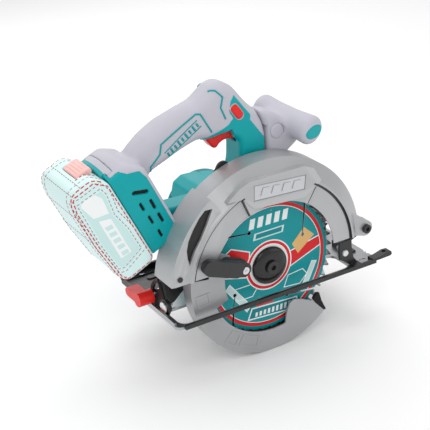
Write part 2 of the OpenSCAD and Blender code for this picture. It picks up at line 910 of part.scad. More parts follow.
module rotor_core() {
    color([0.42, 0.42, 0.44]) at_motor() bearing(16.4, shaft_r, -57, -19);
}

module cooling_fan() {
    color([0.1, 0.1, 0.1]) at_motor() {
        bearing(9, shaft_r, -14.5, -8.5);
        bearing(35, 9, -9.7, -8.5);
        slab(-14.5, -9.7) for (a = [0:24:336]) rotate(a) translate([8.5, -0.8]) square([26, 1.6]);
    }
}

module rotor_bearings() {
    color([0.75, 0.75, 0.76]) at_motor() {
        bearing(11, shaft_r + run, -4, 3);
        bearing(11, shaft_r + run, -77, -70);
    }
}

module motor_screws() {
    color([0.15, 0.15, 0.15]) at_motor() for (a = [45:90:315]) rotate(a) translate([motor_r - 6.4, 0]) {
        bar(2, -82, -66);
        bar(3.2, -84, -82);
    }
}

// ---------------------------------------------------------------- depth clamp

module depth_clamp_bolt() {
    color("silver") at_side() translate([clamp_x, clamp_z]) {
        bar(pin_r, 5, web_far - 1.5);
        bar(5.5, 4, 7);
    }
}

module depth_lock_lever() {
    hub = [clamp_x, clamp_z];
    color([0.8, 0.1, 0.1]) at_side() difference() {
        union() {
            slab(7.4, guide_far - 0.4) translate(hub) circle(8.5);
            slab(7.4, 13) capsule(hub, hub + [-31, -15], 5);
        }
        translate(hub) bar(pin_r + run, 0, 30);
    }
}

// ---------------------------------------------------------------- handle and foot

// side outline of the grip and of the column below it
function grip_outline() = [[-137, 178], [-128, 186], [-118, 194], [-98, 205], [-77, 212], [-57, 217],
    [-47, 224], [-39, 230], [-32, 232.6], [-25, 232], [-13, 225], [4, 203], [13, 194], [19, 180],
    [22, 165], [22, column_z], [-26, column_z], [-26, 164], [-29, 171], [-54, 174], [-59, 176], [-75, 170],
    [-93, 163], [-112, 156], [-118, 150], [-118, 145]];

// same outline moved inwards all round
function shrink(p, d) = [for (i = [0:len(p) - 1])
    let (a = p[(i + len(p) - 1) % len(p)], b = p[i], c = p[(i + 1) % len(p)],
        u = (b - a) / norm(b - a), v = (c - b) / norm(c - b),
        m = [u[1] + v[1], -u[0] - v[0]] / (1 + u * v)) b + d * m];

// closed body of the grip, rounded in steps, from the parting plane outwards
module grip_body() {
    half = grip_w / 2;
    slab(0, half - 8) polygon(grip_outline());
    slab(half - 8.1, half - 4.5) polygon(shrink(grip_outline(), 0.9));
    slab(half - 4.6, half - 2) polygon(shrink(grip_outline(), 2.4));
    slab(half - 2.1, half) polygon(shrink(grip_outline(), 5));
}

// one half of the grip: hollow, with posts for the screws and room for the trigger
module grip_half() {
    half = grip_w / 2;
    difference() {
        grip_body();
        difference() {
            slab(-cut, half - 3.4) polygon(shrink(grip_outline(), 6));
            for (p = handle_screw_at) translate(p) bar(4.6, -2 * cut, half);
        }
        // room of the trigger
        slab(-cut, 8.6) polygon([[-52, 168], [-36, 153], [-18, 154], [-8, 158], [-4, 166], [-12, 192],
            [-34, 194], [-56, 182]]);
        for (p = handle_screw_at) translate(p) bar(1.8, -cut, half + cut);
        for (p = handle_screw_at) translate(p) bar(3.4, half - 3, half + cut);
        // face that meets the foot
        translate([foot_x, foot_z]) rotate(foot_lean) translate([foot_d - 60, -60])
            square_bar(60, 300, -cut, half + cut);
    }
}

// square bar between two stations
module square_bar(x, y, w0, w1) {
    translate([0, 0, w0]) cube([x, y, w1 - w0]);
}

module handle_right() {
    half = grip_w / 2;
    color([0.77, 0.76, 0.8]) at_side() {
        difference() {
            union() {
                grip_half();
                // raised front panel
                slab(half - 3, half + 0.6) polygon([[-15, 216], [1, 195], [0, 186], [14, 160], [16, 149],
                    [-6, 149], [-21, 153], [-21, 196]]);
            }
            // room of the lock-off button
            translate(lock_off_at) rotate(lock_off_lean) {
                slab(-cut, half - 2.4) capsule([-5.5, 0], [5.5, 0], 8);
                slab(-cut, half + 2) capsule([-5.5, 0], [5.5, 0], 4.9);
            }
        }
        // near side of the bridge below the hand
        difference() {
            slab(0, 4) bridge_outline();
            bridge_cuts(-cut, 5);
        }
    }
}

module handle_left() {
    color([0.77, 0.76, 0.8]) at_side() {
        mirror([0, 0, 1]) grip_half();
        difference() {
            slab(-24, 0) bridge_outline();
            bridge_cuts(-25, cut);
            slab(-21, 1) translate([-89, 78]) square([32, 20]);
        }
    }
}

// bridge from the foot to the motor, closing the hand opening below
module bridge_outline() {
    polygon([[-88, 80], [-88, 84], [-112, 92], [-112, 106], [-86, 106], [-26, 103.5], [-26, 96],
        [-40, 66], [-60, 66]]);
}

module bridge_cuts(w0, w1) {
    translate([motor_x, motor_z]) bar(motor_r, w0, w1);
    translate([foot_x, foot_z]) rotate(foot_lean) translate([foot_d - 60, -60]) square_bar(60, 300, w0, w1);
    translate([-28, 60]) square_bar(60, column_z - 60, w0, w1);
}

// outline of the foot seen from the side, in its own frame
module foot_outline() {
    polygon(concat([[0, 0], [foot_d - 4, 0], [foot_d, 4]],
        [for (a = [0:15:75]) [foot_d - 12 + 12 * cos(a), foot_l - 9 + 12 * sin(a)]],
        [for (a = [75:15:120]) [14 + 10 * cos(a), foot_l - 6.5 + 9.8 * sin(a)]],
        [[0, foot_l - 4]]));
}

module foot_half() {
    half = foot_w / 2;
    difference() {
        union() {
            slab(0, half - 6) foot_outline();
            slab(half - 6.1, half - 2) intersection() {
                foot_outline();
                translate([0, 1.5]) square([foot_d - 1.5, foot_l - 1.5]);
            }
            slab(half - 2.1, half) intersection() {
                foot_outline();
                translate([0, 4]) square([foot_d - 4, foot_l - 6]);
            }
        }
        // channel of the battery rails: narrow mouth, wide bottom
        slab(-cut, 22) translate([-cut, 2]) square([4.4 + cut, far_away]);
        slab(-cut, 25.6) translate([3.4, 2]) square([6.6, far_away]);
        // room of the control board
        difference() {
            slab(-cut, half - 3) translate([13, 4]) square([foot_d - 16, foot_l - 10]);
            for (z = foot_screw_at) translate([foot_d - 8, z]) bar(4.6, -2 * cut, half);
        }
        for (z = foot_screw_at) translate([foot_d - 8, z]) {
            bar(1.8, -cut, half + cut);
            bar(3.4, half - 3, half + cut);
        }
        // air slots
        for (i = [0:4]) translate([15, 30 + 9 * i, half - 3 - cut]) cube([13, 3.4, 5 + cut]);
    }
}

module foot_right() {
    color([0, 0.63, 0.65]) difference() {
        at_foot() at_side() foot_half();
        // clear of the guard's dust channel
        at_blade() bar(chute_r + gap, rim_w - gap, foot_w);
    }
}

module foot_left() {
    color([0, 0.63, 0.65]) at_foot() at_side() mirror([0, 0, 1]) foot_half();
}

module trigger() {
    color([0.88, 0.18, 0.16]) at_side() slab(-8, 8)
        polygon([[-46, 173], [-43, 168.5], [-38, 162], [-35.5, 160.5], [-33, 161.2], [-29.5, 164.8],
            [-25, 167], [-20, 167.6], [-15, 166.6], [-11.4, 165.4], [-9.4, 166.6], [-10.4, 170],
            [-14.5, 179], [-18, 183], [-30, 184], [-46, 177]]);
}

module trigger_switch() {
    color([0.08, 0.08, 0.09]) at_side() {
        slab(-7, 7) polygon([[-52, 192], [-25, 192], [-25, 208], [-52, 206]]);
        slab(-3, 3) translate([-36, 190.4]) square([8, 2]);
    }
}

module lock_off_button() {
    half = grip_w / 2;
    color([0.88, 0.18, 0.16]) at_side() translate(lock_off_at) rotate(lock_off_lean) {
        slab(9, half + 2.6) capsule([-5.5, 0], [5.5, 0], 4.5);
        slab(9, 13) capsule([-5.5, 0], [5.5, 0], 7);
    }
}

module handle_screws() {
    half = grip_w / 2;
    color([0.1, 0.1, 0.1]) {
        at_side() for (p = handle_screw_at) translate(p) {
            bar(1.8, 3 - half, half - 2);
            bar(3.2, 1 - half, 3 - half);
        }
        at_foot() at_side() for (z = foot_screw_at) translate([foot_d - 8, z]) {
            bar(1.8, 3 - foot_w / 2, foot_w / 2 - 4);
            bar(3.2, 1 - foot_w / 2, 3 - foot_w / 2);
        }
    }
}

// frame along the front handle's bar, from its blade-side end
module at_front_bar() {
    d = front_bar_b - front_bar_a;
    translate(front_bar_a) rotate([0, acos(d[2] / norm(d)), atan2(d[1], d[0])]) children();
}

module front_handle() {
    l = norm(front_bar_b - front_bar_a);
    r = front_bar_r;
    color([0.75, 0.74, 0.78]) difference() {
        union() {
            at_front_bar() rotate_extrude() polygon(concat([[0, 0]],
                [for (a = [0:15:90]) [r - 7 + 7 * sin(a), 7 - 7 * cos(a)]],
                [for (a = [0:15:90]) [r - 7 + 7 * cos(a), l - 7 + 7 * sin(a)]], [[0, l]]));
            at_side() slab(-7, 21) polygon([[13.5, 193.5], [19, 180], [22, 165], [22, 128], [33, 131],
                [62, 150], [58, 166], [30, 187]]);
        }
        // seats of the end caps and of the screw cover
        at_front_bar() translate([0, 0, -cut]) cylinder(r = r - 5, h = 2 + cut);
        at_front_bar() translate([0, 0, l - 2]) cylinder(r = r - 5, h = 2 + cut);
        at_side() translate([33, 168]) bar(8.2, 19.6, 21 + cut);
    }
}

module front_handle_caps() {
    l = norm(front_bar_b - front_bar_a);
    color([0, 0.63, 0.65]) {
        at_front_bar() translate([0, 0, -0.8]) cylinder(r = front_bar_r - 5, h = 2.8);
        at_front_bar() translate([0, 0, l - 2]) cylinder(r = front_bar_r - 5, h = 2.8);
    }
    color([0.75, 0.74, 0.78]) at_side() translate([33, 168]) bar(8.2, 19.6, 22.4);
}

module control_board() {
    color([0.05, 0.3, 0.12]) at_foot() at_side() {
        slab(-27, 27) translate([17, 8]) square([1.6, 82]);
        slab(-10, 10) translate([18.6, 20]) square([5.4, 18]);
        for (w = [-18, -6, 6, 18]) slab(w - 3.4, w + 3.4) translate([18.6, 50]) square([3, 9]);
    }
}

module terminal_block() {
    color([0.07, 0.07, 0.07]) at_foot() at_side() slab(-14, 14) translate([4, 2]) square([6, 16]);
    color("gold") at_foot() at_side() for (w = [-9.6, -3.6, 2.4, 8.4])
        slab(w, w + 1.2) translate([5, 18]) square([4, 6]);
}

// ---------------------------------------------------------------- battery pack

module battery_case() {
    half = pack_w / 2;
    color([0.86, 0.93, 0.92]) at_foot() at_side() difference() {
        union() {
            slab(-half, half) soft_rect(-pack_d, 4, -gap, pack_l - 6, 4);
            slab(4 - half, half - 4) soft_rect(-pack_d, -2, -gap, pack_l - 2, 6);
            // rails: neck and wide part
            slab(-21.6, 21.6) translate([-cut, 26]) square([4.8, 58]);
            slab(-25.2, 25.2) translate([3.8, 26]) square([5.8, 58]);
        }
        // room of the cells
        slab(3 - half, half - 3) soft_rect(3 - pack_d, 4, -gap - 3, 108, 4);
        // mouths of the contacts
        for (w = [-9, -3, 3, 9]) slab(w - 1.4, w + 1.4) translate([4.5, 25]) square([4, 12]);
        // pocket of the latch
        slab(-16.4, 16.4) translate([-22.4, 111.4]) square([18.8, 20]);
    }
}

module battery_cells() {
    color([0.2, 0.45, 0.7]) at_foot() at_side()
        for (i = [0:4], x = [-34.4, -13.6]) translate([x, 15 + 20 * i]) bar(9.2, -32.5, 32.5);
}

module battery_latch() {
    color([0.85, 0.6, 0.58]) at_foot() at_side() {
        slab(-16, 16) soft_rect(-22, 115, -4, 120, 2);
        slab(-13, 13) translate([-20, 114.6]) square([14, 2]);
    }
}

// ---------------------------------------------------------------- nodes

base_plate();
near_rail();
far_rail();
base_rivets();
rip_guide_clamp();
rear_bevel_bracket();
front_bevel_bracket();
front_side_plate();
bevel_pivot_bolts();
rear_tilt_bracket();
front_tilt_bracket();
depth_guide();
front_pivot_bolt();
bevel_clamp_bolt();
bevel_lock_lever();
upper_guard();
guard_badge();
dust_window_liner();
guard_bumper();
guard_screws();
lower_guard();
guard_lever();
guard_lever_screw();
return_spring();
blade();
blade_tips();
inner_flange();
outer_flange();
blade_bolt();
spindle();
driven_gear();
spindle_bearings();
gear_case();
spindle_lock_button();
motor_housing();
motor_end_cap();
stator_core();
stator_windings();
rotor_core();
rotor_shaft();
cooling_fan();
rotor_bearings();
motor_screws();
depth_clamp_bolt();
depth_lock_lever();
handle_left();
handle_right();
foot_left();
foot_right();
trigger();
trigger_switch();
lock_off_button();
handle_screws();
front_handle();
front_handle_caps();
control_board();
terminal_block();
battery_case();
battery_cells();
battery_latch();
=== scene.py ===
import bpy, math, json
import numpy as np
from mathutils import Vector, Matrix
from mathutils.bvhtree import BVHTree


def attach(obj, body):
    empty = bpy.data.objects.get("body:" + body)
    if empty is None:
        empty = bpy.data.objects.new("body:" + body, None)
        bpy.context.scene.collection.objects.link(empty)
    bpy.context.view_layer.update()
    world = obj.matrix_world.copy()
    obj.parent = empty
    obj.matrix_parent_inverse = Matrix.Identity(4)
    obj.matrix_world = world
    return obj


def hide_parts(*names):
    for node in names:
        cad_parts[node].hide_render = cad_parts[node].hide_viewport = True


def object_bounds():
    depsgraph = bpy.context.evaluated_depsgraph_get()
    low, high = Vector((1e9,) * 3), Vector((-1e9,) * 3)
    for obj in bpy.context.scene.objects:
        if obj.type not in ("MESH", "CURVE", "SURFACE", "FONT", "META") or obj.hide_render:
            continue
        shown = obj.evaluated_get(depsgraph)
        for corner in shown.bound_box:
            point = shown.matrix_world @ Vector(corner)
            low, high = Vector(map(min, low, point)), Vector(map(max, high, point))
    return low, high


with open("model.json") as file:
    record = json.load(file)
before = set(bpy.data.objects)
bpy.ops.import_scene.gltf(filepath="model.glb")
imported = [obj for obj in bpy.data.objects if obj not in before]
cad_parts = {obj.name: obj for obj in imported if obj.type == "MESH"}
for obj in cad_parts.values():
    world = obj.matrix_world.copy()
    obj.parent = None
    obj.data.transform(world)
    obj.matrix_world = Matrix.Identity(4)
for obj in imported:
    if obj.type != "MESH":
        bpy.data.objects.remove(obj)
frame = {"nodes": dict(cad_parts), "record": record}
cad_box = [list(c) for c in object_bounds()]
MM = 0.001
BLADE_Z = 30.0                      # height of the blade's axis, mm
MOTOR_X, MOTOR_Z = -11.04, 57.9     # the motor's axis, mm


# ------------------------------------------------------------------ shader helpers
def math_node(kind):
    """A method that puts one Math node behind the socket."""
    def method(self, *others):
        return self.op(kind, *others)
    return method


class S:
    """A shader socket that can be used in sums, products and comparisons."""

    def __init__(self, tree, sock):
        self.t, self.s = tree, sock

    def op(self, kind, *others, clamp=False):
        n = self.t.nodes.new("ShaderNodeMath")
        n.operation, n.use_clamp = kind, clamp
        for i, v in enumerate((self,) + others):
            if isinstance(v, S):
                self.t.links.new(v.s, n.inputs[i])
            else:
                n.inputs[i].default_value = v
        return S(self.t, n.outputs[0])

    __add__ = math_node("ADD")
    __sub__ = math_node("SUBTRACT")
    __mul__ = math_node("MULTIPLY")
    __truediv__ = math_node("DIVIDE")
    lt = math_node("LESS_THAN")
    gt = math_node("GREATER_THAN")
    low = math_node("MINIMUM")
    frac = math_node("FRACT")

    def within(self, a, b):
        return self.gt(a) * self.lt(b)


class Mat:
    """A procedural material: base colour, roughness and bump from nodes in object space."""

    def __init__(self, name, rough=0.5, metal=0.0, spec=0.5):
        self.m = bpy.data.materials.new(name)
        self.m.use_nodes = True
        self.t = self.m.node_tree
        self.b = self.t.nodes["Principled BSDF"]
        self.b.inputs["Metallic"].default_value = metal
        self.b.inputs["Roughness"].default_value = rough
        self.b.inputs["Specular IOR Level"].default_value = spec
        self.c = self.t.nodes.new("ShaderNodeTexCoord")
        sep = self.t.nodes.new("ShaderNodeSeparateXYZ")
        self.t.links.new(self.c.outputs["Object"], sep.inputs[0])
        self.x, self.y, self.z = (S(self.t, sep.outputs[i]) for i in range(3))

    def around_blade(self):
        """X and Z from the blade's axis in mm, the radius, and the angle in radians."""
        x = self.x * 1000.0
        z = (self.z - BLADE_Z * MM) * 1000.0
        return x, z, (x * x + z * z).op("SQRT"), z.op("ARCTAN2", x)

    def noise(self, scale, detail=2.0, stretch=None, rough=0.5):
        n = self.t.nodes.new("ShaderNodeTexNoise")
        n.inputs["Scale"].default_value = scale
        n.inputs["Detail"].default_value = detail
        n.inputs["Roughness"].default_value = rough
        if stretch:
            mp = self.t.nodes.new("ShaderNodeMapping")
            mp.inputs["Scale"].default_value = stretch
            self.t.links.new(self.c.outputs["Object"], mp.inputs["Vector"])
            self.t.links.new(mp.outputs[0], n.inputs["Vector"])
        else:
            self.t.links.new(self.c.outputs["Object"], n.inputs["Vector"])
        return S(self.t, n.outputs[0])

    def noise_at(self, scale, x, y):
        cb = self.t.nodes.new("ShaderNodeCombineXYZ")
        for i, v in enumerate((x, y)):
            self.t.links.new(v.s, cb.inputs[i])
        n = self.t.nodes.new("ShaderNodeTexNoise")
        n.inputs["Scale"].default_value = scale
        n.inputs["Detail"].default_value = 2.0
        self.t.links.new(cb.outputs[0], n.inputs["Vector"])
        return S(self.t, n.outputs[0])

    def cells(self, scale):
        n = self.t.nodes.new("ShaderNodeTexVoronoi")
        n.inputs["Scale"].default_value = scale
        self.t.links.new(self.c.outputs["Object"], n.inputs["Vector"])
        return S(self.t, n.outputs["Distance"])

    def mix(self, fac, a, b):
        n = self.t.nodes.new("ShaderNodeMix")
        n.data_type = "RGBA"
        for i, v in ((0, fac), (6, a), (7, b)):
            if isinstance(v, S):
                self.t.links.new(v.s, n.inputs[i])
            elif i == 0:
                n.inputs[i].default_value = v
            else:
                n.inputs[i].default_value = v if len(v) == 4 else (*v, 1.0)
        return S(self.t, n.outputs[2])

    def colour(self, v):
        self.t.links.new(v.s, self.b.inputs["Base Color"])
        return self

    def roughness(self, v):
        self.t.links.new(v.s, self.b.inputs["Roughness"])
        return self

    def metallic(self, v):
        self.t.links.new(v.s, self.b.inputs["Metallic"])
        return self

    def bump(self, height, depth=0.0001, strength=0.5):
        n = self.t.nodes.new("ShaderNodeBump")
        n.inputs["Strength"].default_value = strength
        n.inputs["Distance"].default_value = depth
        self.t.links.new(height.s, n.inputs["Height"])
        self.t.links.new(n.outputs[0], self.b.inputs["Normal"])
        return self

    def edges(self):
        """Lighter on worn convex edges: 0 on flats, 1 on sharp edges."""
        g = self.t.nodes.new("ShaderNodeNewGeometry")
        p = S(self.t, g.outputs["Pointiness"])
        return ((p - 0.52) * 14.0).op("MULTIPLY", 1.0, clamp=True)


def rgb(r, g, b):
    """sRGB bytes to linear."""
    return tuple((c / 255 / 12.92) if c / 255 <= 0.04045 else ((c / 255 + 0.055) / 1.055) ** 2.4
                 for c in (r, g, b))


def shade(c, k):
    return tuple(min(1.0, v * k) for v in c)


def plastic(name, c, rough=0.45, grain=2200, depth=0.00006, var=0.07, spec=0.45):
    """Moulded plastic or rubber: uneven colour, fine grain, changing gloss."""
    m = Mat(name, rough, 0.0, spec)
    broad = m.noise(28, 3.0)
    fine = m.noise(grain, 2.0)
    m.colour(m.mix(broad, shade(c, 1 - var), shade(c, 1 + var)))
    m.roughness((m.noise(60, 3.0) - 0.5) * 0.22 + (fine - 0.5) * 0.10 + rough)
    m.bump(fine + m.cells(grain * 0.45) * 0.6, depth, 0.55)
    return m.m


def paint(name, c, rough=0.38):
    """Coated steel with an orange-peel surface and a little wear on its edges."""
    m = Mat(name, rough, 0.0, 0.5)
    peel = m.noise(700, 3.0)
    scuffs = m.noise(160, 6.0, rough=0.7)
    worn = m.edges() * (scuffs - 0.42).op("MULTIPLY", 5.0, clamp=True) * 0.03
    base = m.mix(m.noise(30), shade(c, 0.85), shade(c, 1.2))
    m.colour(m.mix(worn, base, (0.35, 0.35, 0.36)))
    m.roughness((scuffs - 0.5) * 0.3 + rough)
    m.bump(peel, 0.00008, 0.35)
    return m.m


def metal(name, c, rough=0.3, stretch=None, scale=900, depth=0.00004):
    """Bare metal; stretch draws the noise out into brushed or stacked lines."""
    m = Mat(name, rough, 1.0, 0.5)
    lines = m.noise(scale, 3.0, stretch)
    broad = m.noise(35, 4.0)
    m.colour(m.mix(broad, shade(c, 0.9), shade(c, 1.1)))
    m.roughness((lines - 0.5) * 0.25 + (broad - 0.5) * 0.18 + rough)
    m.bump(lines, depth, 0.4)
    return m.m


def casting(name, c, rough, metalness, shade_lines=None):
    """Cast metal; the optional mask function gives the dark lines of painted shade, if there are any."""
    m = Mat(name, rough, metalness, 0.5)
    sand = m.noise(1300, 3.0)
    broad = m.noise(22, 4.0)
    pits = m.cells(700)
    body = m.mix(m.edges() * 0.35, m.mix(broad, shade(c, 0.92), shade(c, 1.06)), shade(c, 1.3))
    # painted shade: the masked lines are darkened to 0.16 of the colour
    m.colour(m.mix(shade_lines(m), body, shade(c, 0.16)) if shade_lines else body)
    m.roughness((sand - 0.5) * 0.18 + (broad - 0.5) * 0.16 + rough)
    m.bump(sand + pits * 0.4, 0.00010, 0.4)
    return m.m


def guard_groove_shade(m):
    """Painted shade: dark lines painted in the grooves round the two sunk bands of the guard's face."""
    _, _, r, turn = m.around_blade()
    ang = turn * (180.0 / math.pi)
    near = m.y.lt(-0.058)
    ring = r.within(99.0, 101.6) * (ang.within(-4.0, 57.6) + ang.within(112.4, 178.0))
    ends = ang.within(56.8, 57.8) + ang.within(112.2, 113.2)
    return near * (ring + ends * r.within(70.0, 101.6)).low(1.0)


TEAL = rgb(0, 163, 168)
GREY = rgb(192, 191, 201)
RED = rgb(226, 38, 32)
BLACK = (0.012, 0.012, 0.013)

teal = plastic("teal_plastic", TEAL, 0.36, spec=0.22)
teal_dark = plastic("teal_plastic_dark", rgb(0, 122, 130), 0.42, spec=0.25)
stripe = plastic("teal_stripe", rgb(0, 155, 160), 0.38, var=0.04, spec=0.2)
grip_grey = plastic("grip_rubber", GREY, 0.56, grain=1500, depth=0.00010, var=0.05, spec=0.35)
red = plastic("red_plastic", RED, 0.30, depth=0.00003, spec=0.35)
black = plastic("black_plastic", (0.014, 0.014, 0.015), 0.40, spec=0.35)
rubber = plastic("black_rubber", (0.009, 0.009, 0.010), 0.60, grain=1300, spec=0.25)
lacquer = plastic("black_lacquer", (0.010, 0.010, 0.011), 0.16, grain=900, depth=0.00001)
board = plastic("board_green", (0.01, 0.12, 0.04), 0.35)
pale = plastic("pack_pale", rgb(214, 241, 240), 0.38, var=0.03, spec=0.4)
pale_panel = plastic("pack_panel", rgb(201, 231, 229), 0.45, var=0.03)
pack_white = plastic("pack_white", rgb(243, 246, 246), 0.4, var=0.02)
pink = plastic("latch_pink", rgb(244, 190, 184), 0.4, var=0.04)
dash_red = plastic("dash_red", rgb(206, 36, 38), 0.45, var=0.05)
dash_dark = plastic("dash_dark", rgb(150, 52, 66), 0.45, var=0.05)
cellwrap = plastic("cell_wrap", (0.05, 0.18, 0.38), 0.3)

plate_steel = metal("plate_steel", rgb(176, 178, 180), 0.34, (60, 900, 900), 1.0, 0.00005)
bright = metal("bright_steel", rgb(214, 215, 218), 0.2, None, 1200, 0.00002)
gear_steel = metal("gear_steel", rgb(150, 151, 154), 0.34)
core_steel = metal("core_steel", rgb(112, 112, 116), 0.42, (40, 1600, 40), 1.0)
copper = metal("copper", rgb(196, 110, 60), 0.3, (20, 20, 20), 60.0)
carbide = metal("carbide", rgb(150, 150, 152), 0.36)
# the dark groove lines on the guard's face are painted shade
guard_grey = casting("guard_casting", rgb(178, 179, 181), 0.40, 0.50, shade_lines=guard_groove_shade)
guard_dark = casting("lower_guard_casting", rgb(168, 169, 171), 0.38, 0.50)
case_grey = casting("gear_case_casting", rgb(186, 187, 190), 0.45, 0.45)
badge = metal("badge_satin", rgb(196, 198, 201), 0.33, (900, 60, 60), 1.0)
black_paint = paint("black_coat", BLACK, 0.32)
grey_paint = paint("grey_coat", (0.018, 0.018, 0.019), 0.34)


def blade_material():
    """Ground steel with a printed face: rings, two red sectors, plain panels, no lettering."""
    m = Mat("blade_printed", 0.28, 1.0, 0.25)
    x, z, r, ang = m.around_blade()
    steel = m.mix(m.noise_at(3.0, r, ang * 0.3), rgb(150, 152, 155), rgb(205, 207, 210))
    near = m.y.lt(-0.04775)

    def half(ax, az, bx, bz):
        """Signed distance in mm to the line from a to b, positive on its left."""
        l = math.hypot(bx - ax, bz - az)
        return (z - az) * ((bx - ax) / l) - (x - ax) * ((bz - az) / l)

    def poly(points):
        """Signed distance to a convex polygon, positive inside."""
        d = None
        for a, b in zip(points, points[1:] + points[:1]):
            h = half(*a, *b)
            d = h if d is None else d.low(h)
        return d

    c = m.mix(m.noise(30.0, 3.0), rgb(0, 136, 142), rgb(4, 150, 155))
    white, redc, pale_c = rgb(232, 238, 238), rgb(214, 30, 38), rgb(196, 222, 222)
    wood, wood_dark = rgb(226, 186, 122), rgb(196, 150, 88)

    def lay(mask, colour):
        nonlocal c
        c = m.mix(mask, c, colour)

    def panel(points, fill, edge=1.3, line=white):
        d = poly(points)
        lay(d.gt(0.0), line)
        lay(d.gt(edge), fill)

    # two red sectors
    panel([(-23, 23), (-46.5, 33.5), (-63, 24), (-63, 2), (-26, -8)], redc)
    panel([(24, 8), (27, -11), (69, 4), (68, 17)], redc)
    # lower field and its frames
    panel([(-56, -14), (-30, -49), (-24, -42), (-50, -8)], pale_c, 1.0)
    panel([(48, -44), (63, -14), (56, -12), (42, -39)], pale_c, 1.0)
    panel([(-30, -60), (20, -64), (36, -56), (36, -50), (-24, -46)], rgb(12, 128, 136), 1.6)
    for i in range(9):
        lay(poly([(-20 + 5.4 * i, -58.0 - 0.3 * i), (-17 + 5.4 * i, -58.2 - 0.3 * i),
                  (-16 + 5.4 * i, -53.2), (-19 + 5.4 * i, -53.0)]).gt(0.0), white)
    lay(poly([(-18, -46), (4, -46.5), (4, -42.5), (-18, -42)]).gt(0.0), redc)
    # plain frame lines beside the hub
    for pts in ([(-46, -26), (-40, -32), (-22, -32), (-16, -24), (-22, -16), (-44, -16)],
                [(18, -34), (40, -36), (50, -26), (44, -18), (24, -20)]):
        lay(poly(pts).within(0.0, 1.0), white)
    # slanted bars above the hub, with no lettering
    for i in range(5):
        x0 = -24 + 10.5 * i
        lay(poly([(x0, 48), (x0 + 6.5, 48), (x0 + 9, 60), (x0 + 2.5, 60)]).gt(0.0), white)
    lay(poly([(-19, 34), (19, 34), (21, 42), (-17, 42)]).gt(0.0), pale_c)
    lay(poly([(-16, 35.4), (17, 35.4), (18.4, 40.6), (-14.6, 40.6)]).gt(0.0), rgb(12, 128, 136))
    # a plain board with grain in the right sector
    d = poly([(30.5, 15.8), (38, 2.4), (59.7, 19.1), (46.6, 31.5)])
    grain = (x * 0.35 + z * 1.2 + m.noise(90.0) * 6.0).frac()
    lay(d.gt(0.0), wood)
    lay(d.gt(0.0) * grain.lt(0.3), wood_dark)
    # outer ring, and the rings round the hub
    lay(r.within(68.2, 72.2), redc)
    lay(r.within(67.4, 68.2), white)
    for radius, ink in ((29.4, white), (28.0, redc), (24.8, white)):
        lay(r.lt(radius), ink)
    # print with small scuffs; bare steel outside it
    scuff = (m.noise(240.0, 5.0) - 0.68).op("MULTIPLY", 8.0, clamp=True)
    mask = near * r.lt(76.5) * (scuff * -0.5 + 1.0)
    m.colour(m.mix(mask, steel, c))
    m.metallic(mask * -1.0 + 1.0)
    lines = m.noise_at(9.0, r, ang * 0.2)
    m.roughness(mask * 0.10 + (lines - 0.5) * 0.25 + 0.30)
    m.bump(lines, 0.00003, 0.35)
    return m.m


printed = blade_material()


def plate_material():
    """Brushed steel plate, black over its rear corner on the motor side."""
    m = Mat("base_plate_steel", 0.34, 1.0, 0.5)
    lines = m.noise(1.0, 3.0, (60, 900, 900))
    broad = m.noise(35, 4.0)
    steel = m.mix(broad, rgb(158, 160, 162), rgb(188, 190, 192))
    black_fill = m.x.lt(-0.074) * m.y.gt(0.020) * m.z.gt(0.0006)
    m.colour(m.mix(black_fill, steel, BLACK))
    m.metallic(black_fill * -1.0 + 1.0)
    m.roughness((lines - 0.5) * 0.25 + (broad - 0.5) * 0.18 + 0.34)
    m.bump(lines, 0.00005, 0.4)
    return m.m


plate_coated = plate_material()


def side_plate_material():
    """Black coated plate with the bright head of its bolt."""
    m = Mat("side_plate_coat", 0.32, 0.0, 0.5)
    x = m.x * 1000.0 - 92.0
    z = m.z * 1000.0 - 21.0
    head = (x * x + z * z).op("SQRT").lt(3.8) * m.y.lt(-0.0609)
    black_fill = m.mix(m.noise(30), (0.010, 0.010, 0.011), (0.014, 0.014, 0.015))
    m.colour(m.mix(head, black_fill, rgb(216, 217, 220)))
    m.metallic(head * 1.0)
    m.roughness((m.noise(160, 6.0) - 0.5) * 0.2 + 0.30)
    m.bump(m.noise(700, 3.0), 0.00006, 0.35)
    return m.m


side_plate = side_plate_material()


# ------------------------------------------------------------------ mesh helpers
stood_for = set()           # CAD nodes that a Blender piece replaces


def new_object(name, verts, faces, material, body, rounded=True, replaces=()):
    me = bpy.data.meshes.new(name)
    me.from_pydata([tuple(v) for v in verts], [], [tuple(int(i) for i in f) for f in faces])
    me.validate()
    me.update()
    me.polygons.foreach_set("use_smooth", [rounded] * len(me.polygons))
    o = bpy.data.objects.new(name, me)
    bpy.context.scene.collection.objects.link(o)
    me.materials.append(material)
    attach(o, body)
    if replaces:
        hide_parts(*replaces)
        stood_for.update(replaces)
    return o


